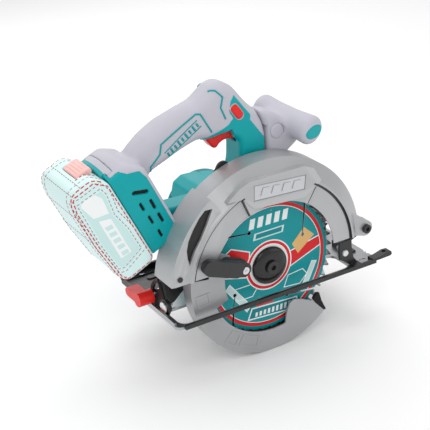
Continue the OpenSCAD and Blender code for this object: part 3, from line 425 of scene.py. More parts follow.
def surface_net(f, lo, step):
    """Vertices and quads on the zero surface of a sampled distance field, negative inside."""
    inside = f < 0
    s = np.zeros(tuple(n - 1 for n in f.shape), np.uint8)
    for i in (0, 1):
        for j in (0, 1):
            for k in (0, 1):
                s += inside[i:i + s.shape[0], j:j + s.shape[1], k:k + s.shape[2]]
    act = (s > 0) & (s < 8)
    idx = np.full(s.shape, -1, np.int64)
    I, J, K = np.nonzero(act)
    idx[I, J, K] = np.arange(len(I))
    pos, cnt = np.zeros((len(I), 3)), np.zeros(len(I))
    for ax in range(3):
        u, v = [a for a in range(3) if a != ax]
        for a in (0, 1):
            for b in (0, 1):
                off = [0, 0, 0]
                off[u], off[v] = a, b
                p = (I + off[0], J + off[1], K + off[2])
                off[ax] = 1
                q = (I + off[0], J + off[1], K + off[2])
                fa, fb = f[p], f[q]
                hit = (fa < 0) != (fb < 0)
                t = np.where(hit, fa / np.where(hit, fa - fb, 1), 0)
                for c in range(3):
                    pos[:, c] += np.where(hit, p[c] + (t if c == ax else 0), 0)
                cnt += hit
    pos = pos / cnt[:, None] * step + np.asarray(lo)
    quads = []
    for ax in range(3):
        u, v = [(1, 2), (2, 0), (0, 1)][ax]
        sl = [slice(None)] * 3
        sl[ax] = slice(0, -1)
        a = inside[tuple(sl)]
        sl[ax] = slice(1, None)
        b = inside[tuple(sl)]
        P = np.array(np.nonzero(a != b))
        ok = (P[u] > 0) & (P[v] > 0) & (P[u] < f.shape[u] - 1) & (P[v] < f.shape[v] - 1)
        P = P[:, ok]
        flip = ~a[tuple(P)]
        c = []
        for du, dv in ((1, 1), (0, 1), (0, 0), (1, 0)):
            q = P.copy()
            q[u] -= du
            q[v] -= dv
            c.append(idx[tuple(q)])
        c = np.stack(c, 1)
        c[flip] = c[flip][:, ::-1]
        quads.append(c)
    return pos, np.concatenate(quads)


class Field:
    """A block of sample points in millimetres, with simple solids measured on it."""

    def __init__(self, lo, hi, step, frame_at=None, lean=0.0):
        self.lo, self.step = np.asarray(lo, float), step
        n = [int(math.ceil((hi[i] - lo[i]) / step)) + 1 for i in range(3)]
        self.ax = [self.lo[i] + step * np.arange(n[i]) for i in range(3)]
        self.X, self.Y, self.Z = np.meshgrid(*self.ax, indexing="ij")
        self.at, self.lean = frame_at, lean

    def flat(self, poly):
        """Signed distance in the X-Z plane to a closed outline, negative inside."""
        P = np.asarray(poly, float)
        X, Z = self.X[:, 0, :], self.Z[:, 0, :]
        d, sign = np.full(X.shape, 1e9), np.ones(X.shape)
        for i in range(len(P)):
            a, b = P[i - 1], P[i]
            ex, ez = b - a
            wx, wz = X - a[0], Z - a[1]
            t = np.clip((wx * ex + wz * ez) / (ex * ex + ez * ez), 0, 1)
            d = np.minimum(d, (wx - ex * t) ** 2 + (wz - ez * t) ** 2)
            c1, c2, c3 = Z >= a[1], Z < b[1], ex * wz > ez * wx
            sign = np.where((c1 & c2 & c3) | (~c1 & ~c2 & ~c3), -sign, sign)
        return np.sqrt(d) * sign

    def mesh(self, f, name, material, body, replaces=(), relax=1):
        """The piece where the field is negative, closed at the edge of the block."""
        f = f.copy()
        for a in range(3):
            for e in (0, -1):
                s = [slice(None)] * 3
                s[a] = e
                f[tuple(s)] = np.maximum(f[tuple(s)], 0.3)
        v, q = surface_net(f, self.lo, self.step)
        if relax:
            v = relaxed(v, q, relax)
        if self.at is not None:
            c, s = math.cos(self.lean), math.sin(self.lean)
            x = self.at[0] + v[:, 0] * c - v[:, 2] * s
            z = self.at[2] + v[:, 0] * s + v[:, 2] * c
            v = np.stack([x, v[:, 1], z], 1)
        return new_object(name, v * MM, q, material, body, True, replaces)


def relaxed(v, q, times):
    """Evens out the steps of the sample grid."""
    n = len(v)
    e = np.concatenate([q[:, [0, 1]], q[:, [1, 2]], q[:, [2, 3]], q[:, [3, 0]]])
    for _ in range(times):
        acc, cnt = np.zeros_like(v), np.zeros(n)
        np.add.at(acc, e[:, 0], v[e[:, 1]])
        np.add.at(cnt, e[:, 0], 1)
        np.add.at(acc, e[:, 1], v[e[:, 0]])
        np.add.at(cnt, e[:, 1], 1)
        v = v * 0.5 + acc / np.maximum(cnt, 1)[:, None] * 0.5
    return v


def blur(a, n):
    """Soft corners: running means along both axes of a flat field."""
    for _ in range(2):
        for ax in (0, 1):
            p = np.pad(a, [(n, n) if k == ax else (0, 0) for k in (0, 1)], mode="edge")
            a = sum(np.roll(p, s, ax) for s in range(-n, n + 1)) / (2 * n + 1)
            a = a[n:-n, :] if ax == 0 else a[:, n:-n]
    return a


def cross(a, b, r):
    """Both solids at once, with the edge between them rounded."""
    u, v = np.maximum(a + r, 0), np.maximum(b + r, 0)
    return np.where((u + v) > 0, np.sqrt(u * u + v * v) - r, np.maximum(a, b))


def join(a, b, k):
    """Either solid, with a soft fillet between them."""
    h = np.clip(0.5 + 0.5 * (b - a) / k, 0, 1)
    return b * (1 - h) + a * h - k * h * (1 - h)


def box_field(F, lo, hi, r):
    """A box between two corners, its edges rounded."""
    c = [(a + b) / 2 for a, b in zip(lo, hi)]
    h = [(b - a) / 2 - r for a, b in zip(lo, hi)]
    q = [np.abs(A - m) - e for A, m, e in zip((F.X, F.Y, F.Z), c, h)]
    out = np.sqrt(sum(np.maximum(v, 0) ** 2 for v in q))
    return out + np.minimum(np.maximum(np.maximum(q[0], q[1]), q[2]), 0) - r


def tube(points, r, sides):
    """A round bead along a path, in millimetres."""
    P = np.asarray(points, float)
    n = len(P)
    V, Q = [], []
    for i in range(n):
        a, b = P[max(i - 1, 0)], P[min(i + 1, n - 1)]
        t = (b - a) / np.linalg.norm(b - a)
        up = np.array([0, 1.0, 0]) if abs(t[1]) < 0.9 else np.array([1.0, 0, 0])
        u = np.cross(up, t)
        u /= np.linalg.norm(u)
        w = np.cross(t, u)
        for k in range(sides):
            g = 2 * math.pi * k / sides
            V.append(P[i] + r * (math.cos(g) * u + math.sin(g) * w))
    for i in range(n - 1):
        for k in range(sides):
            k2 = (k + 1) % sides
            Q.append((i * sides + k, i * sides + k2, (i + 1) * sides + k2, (i + 1) * sides + k))
    Q.append(tuple(range(sides))[::-1])
    Q.append(tuple(range((n - 1) * sides, n * sides)))
    return V, Q


def spaced(points, step, closed=False):
    """Points every step along a path, its corners kept."""
    P = [np.asarray(p, float) for p in points]
    if closed:
        P.append(P[0])
    out = [P[0]]
    for a, b in zip(P, P[1:]):
        n = max(1, int(round(np.linalg.norm(b - a) / step)))
        out += [a + (b - a) * i / n for i in range(1, n + 1)]
    return out


def surface_of(o):
    return BVHTree.FromPolygons([v.co for v in o.data.vertices], [p.vertices for p in o.data.polygons])


def laid(points, tree, side, out=0.0):
    """Drops X-Z points (mm) onto a surface from the blade side (-1) or the motor side (+1)."""
    res = []
    for x, z in points:
        hit, _, _, _ = tree.ray_cast(Vector((x * MM, side * 0.2, z * MM)), Vector((0, -side, 0)))
        if hit is not None:
            res.append(np.array([x, hit.y / MM + side * out, z]))
    return res


def merged_tubes(name, paths, r, material, body, sides=8):
    """Beads along several paths, as one piece."""
    V, Q = [], []
    for p in paths:
        if len(p) < 2:
            continue
        v, q = tube(p, r, sides)
        Q += [tuple(i + len(V) for i in f) for f in q]
        V += v
    return new_object(name, np.asarray(V) * MM, Q, material, body)


# ------------------------------------------------------------------ handle, foot and bridge
def smooth(v, a, b):
    """0 below a, 1 above b, with a soft step between."""
    t = np.clip((v - a) / (b - a), 0, 1)
    return t * t * (3 - 2 * t)


# the foot's own side view: u into the foot, v up along the battery's face
LEAN = math.radians(25)
FOOT = (-127.7, 0.0, 75.1)
FOOT_HALF = 33.0                    # half its width
SLOT_DEEP = 3.0
# middle and turn of the lock-off button
LOCK_X, LOCK_Z, LOCK_TURN = -13, 199, math.radians(-55)


def to_world(u, v):
    """X and Z of a point of the foot's own side view."""
    return (FOOT[0] + u * math.cos(LEAN) - v * math.sin(LEAN),
            FOOT[2] + u * math.sin(LEAN) + v * math.cos(LEAN))


def foot_uv(X, Z):
    """Depth and height in the foot's own side view."""
    x, z = X - FOOT[0], Z - FOOT[2]
    return (x * math.cos(LEAN) + z * math.sin(LEAN), -x * math.sin(LEAN) + z * math.cos(LEAN))


# side view of the grip with its front column, and of the column's coloured skin
GRIP = [(-137, 178), (-128, 186), (-118, 194), (-98, 205), (-77, 212), (-57, 217), (-47, 224), (-39, 230),
        (-32, 232.1), (-25, 231.7), (-13, 225), (4, 203), (13, 194), (19, 180), (22, 165), (22, 102),
        (-21, 102), (-14, 122), (-10, 140), (-9, 156), (-10, 166), (-16, 172), (-29, 174), (-50, 174),
        (-57, 176), (-75, 170), (-93, 163), (-112, 156), (-118, 150), (-118, 145)]
COLUMN = [(-15.4, 218.2), (3.6, 192.5), (2.7, 187.2), (20.5, 162.7), (20, 101), (-27, 101), (-27, 168),
          (-56, 171), (-54.6, 176.9), (-46.3, 179.3), (-34.1, 183.4), (-24.2, 187.6), (-18.6, 193.2),
          (-22.9, 200.9), (-20.5, 212.3)]
# hollow the trigger moves in, and what the side walls leave open round it
ROOM = [(-52, 168), (-36, 156), (-18, 160), (-11, 162.5), (-3, 163.5), (-3, 172), (-12, 192), (-34, 194),
        (-56, 182)]
NOTCH = [(-46.1, 170.8), (-37.1, 177.1), (-20.2, 181.5), (-15, 168.8), (-16.2, 167), (-20, 150), (-50, 150)]


def handle_field(F):
    """The hand grip and its front column, rounded more along the grip."""
    X, Z = F.X[:, 0, :], F.Z[:, 0, :]
    d = blur(F.flat(GRIP), 3)
    col = smooth(X, -34, -20) * (1 - smooth(Z, 176, 206))
    r = 13.0 * (1 - col) + 5.5 * col
    half = 17.0 - 1.8 * np.exp(-((X + 80) / 26) ** 2) * (1 - col) - 1.0 * smooth(-X, 100, 130)
    return cross(d[:, None, :], np.abs(F.Y) - half[:, None, :], r[:, None, :])


def foot_field(U, Y, V, front=37.0):
    """The foot that the battery slides on, with its crowned top."""
    crown = 9.5 * (1 - (Y / 34.0) ** 2) * (1 - smooth(U, 14, 40))
    drop = 9.0 * smooth(U, 20, 38)
    top = V - (101.5 + crown - drop)
    side = np.abs(Y) - (FOOT_HALF - 0.018 * np.maximum(0, 60 - V))
    ends = cross(cross(U - front, top * 0.93, 6.0), -V, 4.0)
    body = cross(ends, side, 5.0)
    return np.maximum(body, -U)


def trigger_room(F):
    """Hollow between the side walls, and the notch in each wall."""
    room = np.maximum(F.flat(ROOM)[:, None, :], np.abs(F.Y) - 8.6)
    return np.minimum(room, F.flat(NOTCH)[:, None, :])


def lock_off_axes(F):
    """Along and across the lock-off button, from its middle."""
    x, z, c, s = F.X - LOCK_X, F.Z - LOCK_Z, math.cos(LOCK_TURN), math.sin(LOCK_TURN)
    return x * c + z * s, -x * s + z * c


def lock_off_oval(F, r):
    """The button's long outline, with ends of radius r."""
    p, q = lock_off_axes(F)
    return np.sqrt(np.maximum(np.abs(p) - 5.5, 0) ** 2 + q * q) - r


def motor_field(F, r):
    """A cylinder of radius r round the motor's axis."""
    return np.sqrt((F.X - MOTOR_X) ** 2 + (F.Z - MOTOR_Z) ** 2) - r


def make_grip():
    """The soft grey shell: hand grip and the dome over the foot."""
    F = Field((-172, -38, 98), (27, 38, 236), 1.0)
    U, V = foot_uv(F.X, F.Z)
    grip = handle_field(F)
    foot = foot_field(U, F.Y, V, 38.0) - 0.5
    seam = F.flat([to_world(*p) for p in
                   [(3, 130), (3, 103.2), (14, 103.2), (19, 97.5), (31.5, 91), (34.6, 80), (34.6, 10),
                    (48, 10), (48, 130)]])[:, None, :]
    dome = cross(foot, seam, 0.8)
    both = join(grip, dome, 9.0)
    # mouth of the battery rails, and nothing of the hand loop behind the foot's face
    mouth = np.maximum(np.abs(F.Y) - 25.85, U - 10.3)
    both = np.maximum(both, -mouth)
    both = np.maximum(both, 3.2 - U)
    both = np.maximum(both, -trigger_room(F))
    return F.mesh(both, "grip_overmould", grip_grey, "saw_body",
                  replaces=("handle_left", "handle_right"))


def make_column():
    """Coloured skin on both sides of the column in front of the hand."""
    F = Field((-60, -20, 98), (24, 20, 222), 0.8)
    skin = handle_field(F) - 0.7
    prism = (F.flat(COLUMN) + 0.3)[:, None, :]
    f = cross(skin, prism, 0.9)
    # opening of the trigger and seat of the lock-off button
    f = np.maximum(f, -trigger_room(F))
    f = np.maximum(f, -np.maximum(lock_off_oval(F, 5.2), 15.0 - np.abs(F.Y)))
    F.mesh(f, "column_skins", teal, "saw_body")


def slot_field(F, a, b, r):
    """A slot with round ends from a to b, in both side walls of the foot."""
    X, Z = F.X[:, 0, :], F.Z[:, 0, :]
    ex, ez = b[0] - a[0], b[1] - a[1]
    t = np.clip(((X - a[0]) * ex + (Z - a[1]) * ez) / (ex * ex + ez * ez), 0, 1)
    d = np.sqrt((X - a[0] - ex * t) ** 2 + (Z - a[1] - ez * t) ** 2) - r
    return np.maximum(d[:, None, :], (FOOT_HALF - SLOT_DEEP) - np.abs(F.Y))


def make_foot():
    """The battery's foot with its rail channel, side slots and bevel line."""
    F = Field((-3, -36, -4), (44, 36, 116), 0.8, FOOT, LEAN)
    f = foot_field(F.X, F.Y, F.Z)
    neck = np.maximum(np.abs(F.Y) - 22.2, F.X - 3.6)
    wide = np.maximum(np.maximum(np.abs(F.Y) - 25.8, F.X - 10.2), 3.2 - F.X)
    f = np.maximum(f, -np.maximum(np.minimum(neck, wide), 2 - F.Z))
    # one slanted slot, then two columns of upright ones
    slots = [((15.5, 74.5), (27.5, 67.0), 2.3)]
    slots += [((26.2, v0), (26.2, v1), 1.7) for v0, v1 in ((55.6, 45.6), (36.4, 26.8))]
    slots += [((u, v0), (u, v1), 1.5)
              for u, v0, v1 in ((15.2, 60.0, 52.0), (16.2, 41.0, 32.6), (17.2, 20.4, 13.0))]
    for a, b, r in slots:
        f = np.maximum(f, -slot_field(F, a, b, r))
    # shallow bevel line beside the battery's face
    line = np.maximum(np.abs(F.X - 8.0 - 0.05 * F.Z * (F.Z < 60)) - 0.35, 32.3 - np.abs(F.Y))
    f = np.maximum(f, -np.maximum(line, 8 - F.Z))
    F.mesh(f, "foot_shell", teal, "saw_body", replaces=("foot_left", "foot_right"))
    # painted shade: a dark sheet deep in the slots stands in for the shade inside them, so that they read as
    # openings
    inner = box_field(F, (13.2, -30.6, 8), (30.8, 30.6, 82), 1.0)
    slot_shade = np.maximum(inner, 26.0 - np.abs(F.Y))
    F.mesh(slot_shade, "foot_slot_shade", rubber, "saw_body", relax=0)


BRIDGE = [(-88, 80), (-88, 84), (-112, 92), (-112, 106), (-86, 106), (-26, 103.5), (-18, 101), (-18, 96),
          (-40, 66), (-60, 66)]


def make_bridge():
    """The web below the hand, from the foot to the motor."""
    F = Field((-118, -8, 62), (-14, 28, 110), 0.9)
    d = blur(F.flat(BRIDGE), 2)[:, None, :]
    f = cross(d, np.abs(F.Y - 10) - 13.6, 3.5)
    U, V = foot_uv(F.X, F.Z)
    f = np.maximum(f, 36.0 - U)
    # left out where the motor and the gear case are
    neck = box_field(F, (-28, -30, 60), (40, 30, 101), 0.5)
    f = np.maximum(np.maximum(f, -motor_field(F, 42.4)), -neck)
    F.mesh(f, "bridge", teal, "saw_body")


STRIPES = [[(-42.5, 225.5), (-40, 226.5), (-36, 226), (-29.5, 218.6), (-32.3, 207.6), (-27, 194.4)],
           [(-115, 158), (-116, 164), (-105, 175), (-103, 185), (-61, 207), (-56, 206), (-44, 184)]]
BARS_FROM, BARS_TO = np.array((-97.0, 171.0)), np.array((-58.0, 197.0))
BAR_COUNT = 9


def make_grip_marks(tree, side, tag):
    """Pinstripes, and a row of plain bars between two rules, on one side of the grip."""
    def bead(line, step, out=0.0):
        return laid([tuple(p) for p in spaced(line, step)], tree, side, out)

    merged_tubes(f"grip_stripes_{tag}", [bead(line, 1.5, 0.05) for line in STRIPES], 0.95, stripe, "saw_body")
    a, b = BARS_FROM, BARS_TO
    length = np.linalg.norm(b - a)
    along = (b - a) / length
    up = np.array((-along[1], along[0]))
    bars = []
    for k in range(BAR_COUNT):
        c = a + along * (length * (k + 0.5) / BAR_COUNT)
        tall = 2.9 if k % 2 else 2.1
        bars.append(bead([c - up * tall, c + up * tall], 1.0))
    merged_tubes(f"grip_bars_{tag}", bars, 1.15, stripe, "saw_body")
    rules = [bead([a + up * v, b + up * v], 1.5) for v in (-4.2, 4.4)]
    merged_tubes(f"grip_rule_{tag}", rules, 0.6, stripe, "saw_body")


grip_tree = surface_of(make_grip())
make_column()
make_foot()
make_bridge()
for side, tag in ((-1, "near"), (1, "far")):
    make_grip_marks(grip_tree, side, tag)


# ------------------------------------------------------------------ trigger, lock-off, front handle
TRIGGER = [(-46, 173), (-43, 168.5), (-38, 162), (-35.5, 160.5), (-33, 161.2), (-29.5, 164.8), (-25, 167),
           (-20, 167.6), (-15, 166.6), (-11.4, 165.4), (-9.4, 166.6), (-10.4, 170), (-14.5, 179),
           (-18, 183), (-30, 184), (-46, 177)]


def make_trigger():
    F = Field((-50, -10, 156), (-4, 10, 190), 0.6)
    d = blur(F.flat(TRIGGER), 1)
    f = cross(d[:, None, :], np.abs(F.Y) - 7.8, 3.0)
    F.mesh(f, "trigger_finger", red, "trigger", replaces=("trigger",))


def make_lock_off():
    F = Field((-26, -22, 186), (0, -8, 212), 0.5)
    p, q = lock_off_axes(F)
    f = cross(lock_off_oval(F, 4.5), np.maximum(-F.Y - 19.4 + 0.02 * p * p, F.Y + 9.2), 2.0)
    dish = np.sqrt(p * p * 0.3 + q * q + (F.Y + 24.5) ** 2) - 5.6
    f = np.maximum(f, -dish)
    F.mesh(f, "lock_off_cap", red, "lock_off", replaces=("lock_off_button",))


# the front handle: axis of its bar, its stem and the middle of its screw cover
BAR_A, BAR_B = np.array((63.0, -46.0, 167.0)), np.array((45.0, 30.0, 178.0))
STEM = [(12, 196), (19, 180), (22, 165), (22, 128), (33, 131), (62, 150), (60, 168), (30, 189)]
COVER_X, COVER_Z = 33, 168


def bar_field(F):
    """The bar of the front handle, the place along its axis, and its length."""
    e = BAR_B - BAR_A
    l = np.linalg.norm(e)
    e = e / l
    w = [F.X - BAR_A[0], F.Y - BAR_A[1], F.Z - BAR_A[2]]
    t = w[0] * e[0] + w[1] * e[1] + w[2] * e[2]
    rho = np.sqrt(np.maximum(w[0] ** 2 + w[1] ** 2 + w[2] ** 2 - t * t, 0))
    # a slight waist, fuller at both ends
    radius = 14.2 + 1.8 * (1 - smooth(t, 4, 34)) + 1.2 * smooth(t, l - 26, l - 4)
    return cross(rho - radius, np.abs(t - l / 2) - l / 2, 6.5), t, l


def cover_radius(F):
    return np.sqrt((F.X - COVER_X) ** 2 + (F.Z - COVER_Z) ** 2)


def make_front_grip():
    F = Field((8, -66, 122), (84, 50, 200), 1.0)
    bar, _, _ = bar_field(F)
    d = blur(F.flat(STEM), 3)[:, None, :]
    stem = cross(d, np.abs(F.Y + 7) - 13.8, 6.0)
    f = join(bar, stem, 9.0)
    # shallow round seat of the screw cover
    f = np.maximum(f, -np.maximum(cover_radius(F) - 8.6, F.Y + 20.0))
    # the stem stops at the column's front face
    f = np.maximum(f, np.minimum(22.3 - F.X, 176 - F.Z))
    F.mesh(f, "front_grip", grip_grey, "saw_body", replaces=("front_handle",))


def make_grip_caps():
    """Oval caps on both ends of the front handle's bar, standing a little proud."""
    F = Field((36, -66, 150), (84, 46, 198), 0.8)
    bar, t, l = bar_field(F)
    e = (BAR_B - BAR_A) / l
    side_x = F.X - BAR_A[0] - e[0] * t
    side_z = F.Z - BAR_A[2] - e[2] * t
    oval = (np.sqrt((side_x / 1.28) ** 2 + (side_z / 0.86) ** 2) - 9.4) * 0.9
    caps = np.maximum(np.maximum(bar - 0.45, oval), np.minimum(t - 4, l - 4 - t))
    F.mesh(caps, "front_grip_caps", teal, "saw_body")


def make_grip_cover():
    """Round cover of the front handle's screw."""
    F = Field((23, -24, 158), (43, -17, 178), 0.5)
    r = cover_radius(F)
    f = cross(r - 8.0, np.maximum(-F.Y - 21.6 - 0.4 * (1 - (r / 8) ** 2), F.Y + 18), 1.2)
    F.mesh(f, "front_grip_cover", grip_grey, "saw_body", replaces=("front_handle_caps",))


make_trigger()
make_lock_off()
make_front_grip()
make_grip_caps()
make_grip_cover()


# ------------------------------------------------------------------ battery pack
PACK = [(-0.8, 2), (-6, -2), (-38, -2), (-44, 8), (-45, 25), (-46.9, 50), (-46.6, 100), (-43, 114),
        (-38, 118), (-12.8, 118), (-0.8, 104)]
PANEL = [(-42.2, 57.5), (-41, 84.4), (-39.9, 107.5), (-11, 106.7), (-8.7, 97), (-12.7, 73.2), (-8.5, 50),
         (-8.3, 21.2), (-33.9, 15.3), (-40, 18.1)]


def make_pack():
    """The pack's shell with its panels, finger steps, latch pocket and rails."""
    F = Field((-50, -40, -4), (12, 40, 120), 0.9, FOOT, LEAN)
    d = blur(F.flat(PACK), 4)[:, None, :]
    shell = cross(d, np.abs(F.Y) - 37.2 + 0.02 * np.maximum(0, -30 - F.X), 5.0)
    # raised side panels, and the shoulder line round them
    p = blur(F.flat(PANEL), 2)[:, None, :]
    panel = cross(p, np.abs(F.Y) - 37.9, 0.8)
    shell = np.minimum(shell, np.maximum(panel, 34 - np.abs(F.Y)))
    groove = np.maximum(np.abs(p - 2.2) - 0.5, 36.6 - np.abs(F.Y))
    shell = np.maximum(shell, -groove)
    # finger steps down the back
    for v in (30, 36, 42, 48):
        g = np.sqrt((F.X + 48.2) ** 2 * 1.4 + (F.Z - v) ** 2) - 2.0
        shell = np.maximum(shell, -np.maximum(g, np.abs(F.Y) - 24))
    # pocket of the latch
    pocket = box_field(F, (-22.4, -16.4, 108.8), (-3.6, 16.4, 140), 1.2)
    shell = np.maximum(shell, -pocket)
    # rails, with the mouthpiece that closes the channel above them
    neck = box_field(F, (-3, -21.6, 26), (4.6, 21.6, 84), 0.8)
    wide = box_field(F, (3.9, -25.2, 26), (9.5, 25.2, 84), 0.8)
    f = np.minimum(shell, np.minimum(neck, wide))
    return F.mesh(f, "pack_case", pale, "battery", replaces=("battery_case",))


def make_mouth():
    """The pack's block that fills the mouth of the foot's channel."""
    F = Field((-3, -28, 82), (13, 28, 116), 0.7, FOOT, LEAN)
    neck = box_field(F, (-2.5, -21.9, 84), (4.4, 21.9, 140), 0.3)
    wide = box_field(F, (3.9, -25.6, 84), (10.1, 25.6, 140), 0.3)
    crown = 101.7 + 9.5 * (1 - (F.Y / 34.0) ** 2)
    f = np.maximum(np.maximum(F.Z - crown, np.minimum(neck, wide)), -F.X - 2)
    F.mesh(f, "pack_mouthpiece", two_tone(TEAL, GREY, 2.6), "battery")


def two_tone(near_face, far_face, at):
    """One colour next to the pack and one beyond, split along the foot's own depth."""
    m = Mat("mouth_two_tone", 0.5)
    u = (m.x * 1000.0 - FOOT[0]) * math.cos(LEAN) + (m.z * 1000.0 - FOOT[2]) * math.sin(LEAN)
    m.colour(m.mix(u.gt(at), m.mix(m.noise(28), shade(near_face, 0.93), shade(near_face, 1.07)),
                   m.mix(m.noise(28), shade(far_face, 0.95), shade(far_face, 1.05))))
    m.roughness((m.noise(60) - 0.5) * 0.2 + 0.5)
    m.bump(m.noise(1800), 0.00008, 0.5)
    return m.m


def make_latch():
    F = Field((-24, -18, 112), (-2, 18, 122), 0.6, FOOT, LEAN)
    crown = 119.9 - 0.0025 * F.Y ** 2 - 0.012 * (F.X + 13) ** 2
    f = cross(np.maximum(np.abs(F.X + 13) - 8.8, np.abs(F.Y) - 15.8),
              np.maximum(F.Z - crown, 113.2 - F.Z), 1.3)
    for k in range(4):
        g = np.sqrt((F.X + 18.5 - 3.6 * k) ** 2 + (F.Z - crown - 0.5) ** 2) - 1.1
        f = np.maximum(f, -np.maximum(g, np.abs(F.Y) - 12))
    F.mesh(f, "pack_latch", pink, "latch", replaces=("battery_latch",))


pack_tree = surface_of(make_pack())
make_mouth()
make_latch()


# the printed outline: spacing of its points, bead radii, a thick dash with its gap, all in mm
DENSE = 0.55
THIN, THICK = 0.34, 0.62
LONG_DASH = (3.4, 2.0)
JUMP = 6


def on_pack_side(points, side, out=0.0):
    """Points of the foot's side view, dropped onto the pack's side wall."""
    return laid([to_world(u, v) for u, v in points], pack_tree, side, out)


def dashes(points, on=2.3, off=1.7):
    """Cuts a dense path into short strokes; a jump in the path starts again."""
    out, run, gap, travelled = [], [], False, 0.0
    for a, b in zip(points, points[1:]):
        step = np.linalg.norm(b - a)
        if step > JUMP:
            run, gap, travelled = [], False, 0.0
            continue
        if not gap:
            if not run:
                run = [a]
            run.append(b)
        travelled += step
        if (not gap and travelled >= on) or (gap and travelled >= off):
            if not gap:
                out.append(run)
            run, gap, travelled = [], not gap, 0.0
    return out


def loop_uv(points):
    """A closed outline as a dense row of points."""
    return [tuple(p) for p in spaced(points, DENSE, True)]


def inset(poly, d):
    """The same outline moved inwards, corner by corner."""
    P = np.asarray(poly, float)
    area = sum(a[0] * b[1] - a[1] * b[0] for a, b in zip(P, np.roll(P, -1, 0)))
    out = []
    for a, b, c in zip(np.roll(P, 1, 0), P, np.roll(P, -1, 0)):
        u, v = (b - a) / np.linalg.norm(b - a), (c - b) / np.linalg.norm(c - b)
        m = np.array([-(u[1] + v[1]), u[0] + v[0]]) / (1 + u.dot(v))
        out.append(tuple(b + m * d * (1 if area > 0 else -1)))
    return out


def make_outlines(side, tag):
    """Two thin dashed loops round the panel and a thick one round the whole side."""
    thin = []
    for loop in (inset(PANEL, 0.6), inset(PANEL, -4.2)):
        thin += dashes(on_pack_side(loop_uv(loop), side))
    merged_tubes(f"pack_outline_thin_{tag}", thin, THIN, dash_dark, "battery", 6)
    thick = dashes(on_pack_side(loop_uv(inset(PACK, 3.2)), side), *LONG_DASH)
    merged_tubes(f"pack_outline_thick_{tag}", thick, THICK, dash_red, "battery")


def ridge(points, du, dv):
    """Drops (u, v, y) points onto the pack along a direction of the foot's side view."""
    out = []
    d = Vector((du * math.cos(LEAN) - dv * math.sin(LEAN), 0, du * math.sin(LEAN) + dv * math.cos(LEAN)))
    for u, v, y in points:
        x, z = to_world(u, v)
        hit, _, _, _ = pack_tree.ray_cast(Vector((x * MM, y * MM, z * MM)) - d * 0.05, d)
        if hit is not None:
            out.append(np.array(hit) / MM)
    return out


def on_back(v, y):
    """Points on the pack's back; one of v and y is a row of values."""
    v, y = np.broadcast_arrays(v, y)
    return ridge([(-55, b, c) for b, c in zip(v, y)], 1, 0)


def on_top(u, y):
    """Points on the pack's top, in the same way."""
    u, y = np.broadcast_arrays(u, y)
    return ridge([(a, 125, c) for a, c in zip(u, y)], 0, -1)


def make_ridges():
    """Dashed lines over the back and the top, along the pack's edges and shoulders."""
    row = np.arange
    across = row(-34, 34, DENSE)
    thin, thick = [], []
    for y in (-26, 26):
        thin += dashes(on_back(row(6, 112, DENSE), y))
        thin += dashes(on_top(row(-44, -3, DENSE), y))
    for y in (-34.6, 34.6):
        thick += dashes(on_back(row(0, 114, DENSE), y), *LONG_DASH)
        thick += dashes(on_top(row(-42, -4, DENSE), y), *LONG_DASH)
    for v in (96.0, 62.0):
        thin += dashes(on_back(v, across))
    for u in (-38.5, -27.0):
        thin += dashes(on_top(u, across))
    thick += dashes(on_top(row(-24, -4, DENSE), -18.5))
    merged_tubes("pack_ridges_thin", thin, THIN, dash_dark, "battery", 6)
    merged_tubes("pack_ridges_thick", thick, THICK, dash_red, "battery")


PLAQUE_STEP = 1.2           # between a plaque's rows, mm
PLAQUE_N = 14               # points in a row


def plaque_rows(outline):
    """Rows of points between the outline's left and right edges."""
    P = np.asarray(outline, float)
    lo, hi = P[:, 1].min(), P[:, 1].max()
    rows = []
    for v in np.linspace(lo + 0.01, hi - 0.01, max(3, int((hi - lo) / PLAQUE_STEP))):
        xs = []
        for a, b in zip(P, np.roll(P, -1, 0)):
            if (a[1] - v) * (b[1] - v) <= 0 and a[1] != b[1]:
                xs.append(a[0] + (b[0] - a[0]) * (v - a[1]) / (b[1] - a[1]))
        if len(xs) >= 2:
            rows.append([(min(xs) + (max(xs) - min(xs)) * t, v) for t in np.linspace(0, 1, PLAQUE_N)])
    return rows


def plaque(name, outline, side, thick, material, out=0.0):
    """A thin skin laid on the pack's side wall."""
    n, V, Q = PLAQUE_N, [], []
    for row in plaque_rows(outline):
        pts = on_pack_side(row, side, out)
        if len(pts) == n:
            V += pts
    m = len(V) // n
    if m < 2:
        return
    A = np.array([p + np.array([0, side * thick, 0]) for p in V] + V)
    k = m * n
    for i in range(m - 1):
        for j in range(n - 1):
            a, b, c, d = i * n + j, i * n + j + 1, (i + 1) * n + j + 1, (i + 1) * n + j
            Q.append((a, b, c, d) if side < 0 else (d, c, b, a))
    edge = [j for j in range(n)] + [i * n + n - 1 for i in range(1, m)] + \
           [(m - 1) * n + j for j in range(n - 2, -1, -1)] + [i * n for i in range(m - 2, 0, -1)]
    for a, b in zip(edge, edge[1:] + edge[:1]):
        Q.append((b, a, a + k, b + k) if side < 0 else (a, b, b + k, a + k))
    new_object(name, A * MM, Q, material, "battery", rounded=False)


WINDOW = [(-37.5, 104), (-31, 107), (-19.5, 105), (-15, 96), (-17.5, 78), (-33, 84)]
BLOCK = [(-30.4, 78), (-18.6, 72), (-19.2, 26), (-31.6, 27)]


def make_plaques(side, tag):
    """A field, a white window and a block with five plain bars, no lettering."""
    plaque(f"pack_field_{tag}", inset(PANEL, 2.4), side, 0.12, pale_panel)
    plaque(f"pack_window_{tag}", WINDOW, side, 0.24, pack_white, 0.05)
    plaque(f"pack_block_a_{tag}", BLOCK, side, 0.24, pack_white, 0.05)
    for i in range(5):
        v = 68 - 8.6 * i
        bar = [(-28.6, v - 5.2), (-21.2, v - 6.6), (-21.2, v - 1.4), (-28.6, v)]
        plaque(f"pack_bar_{i}_{tag}", bar, side, 0.2, pale_panel, 0.3)


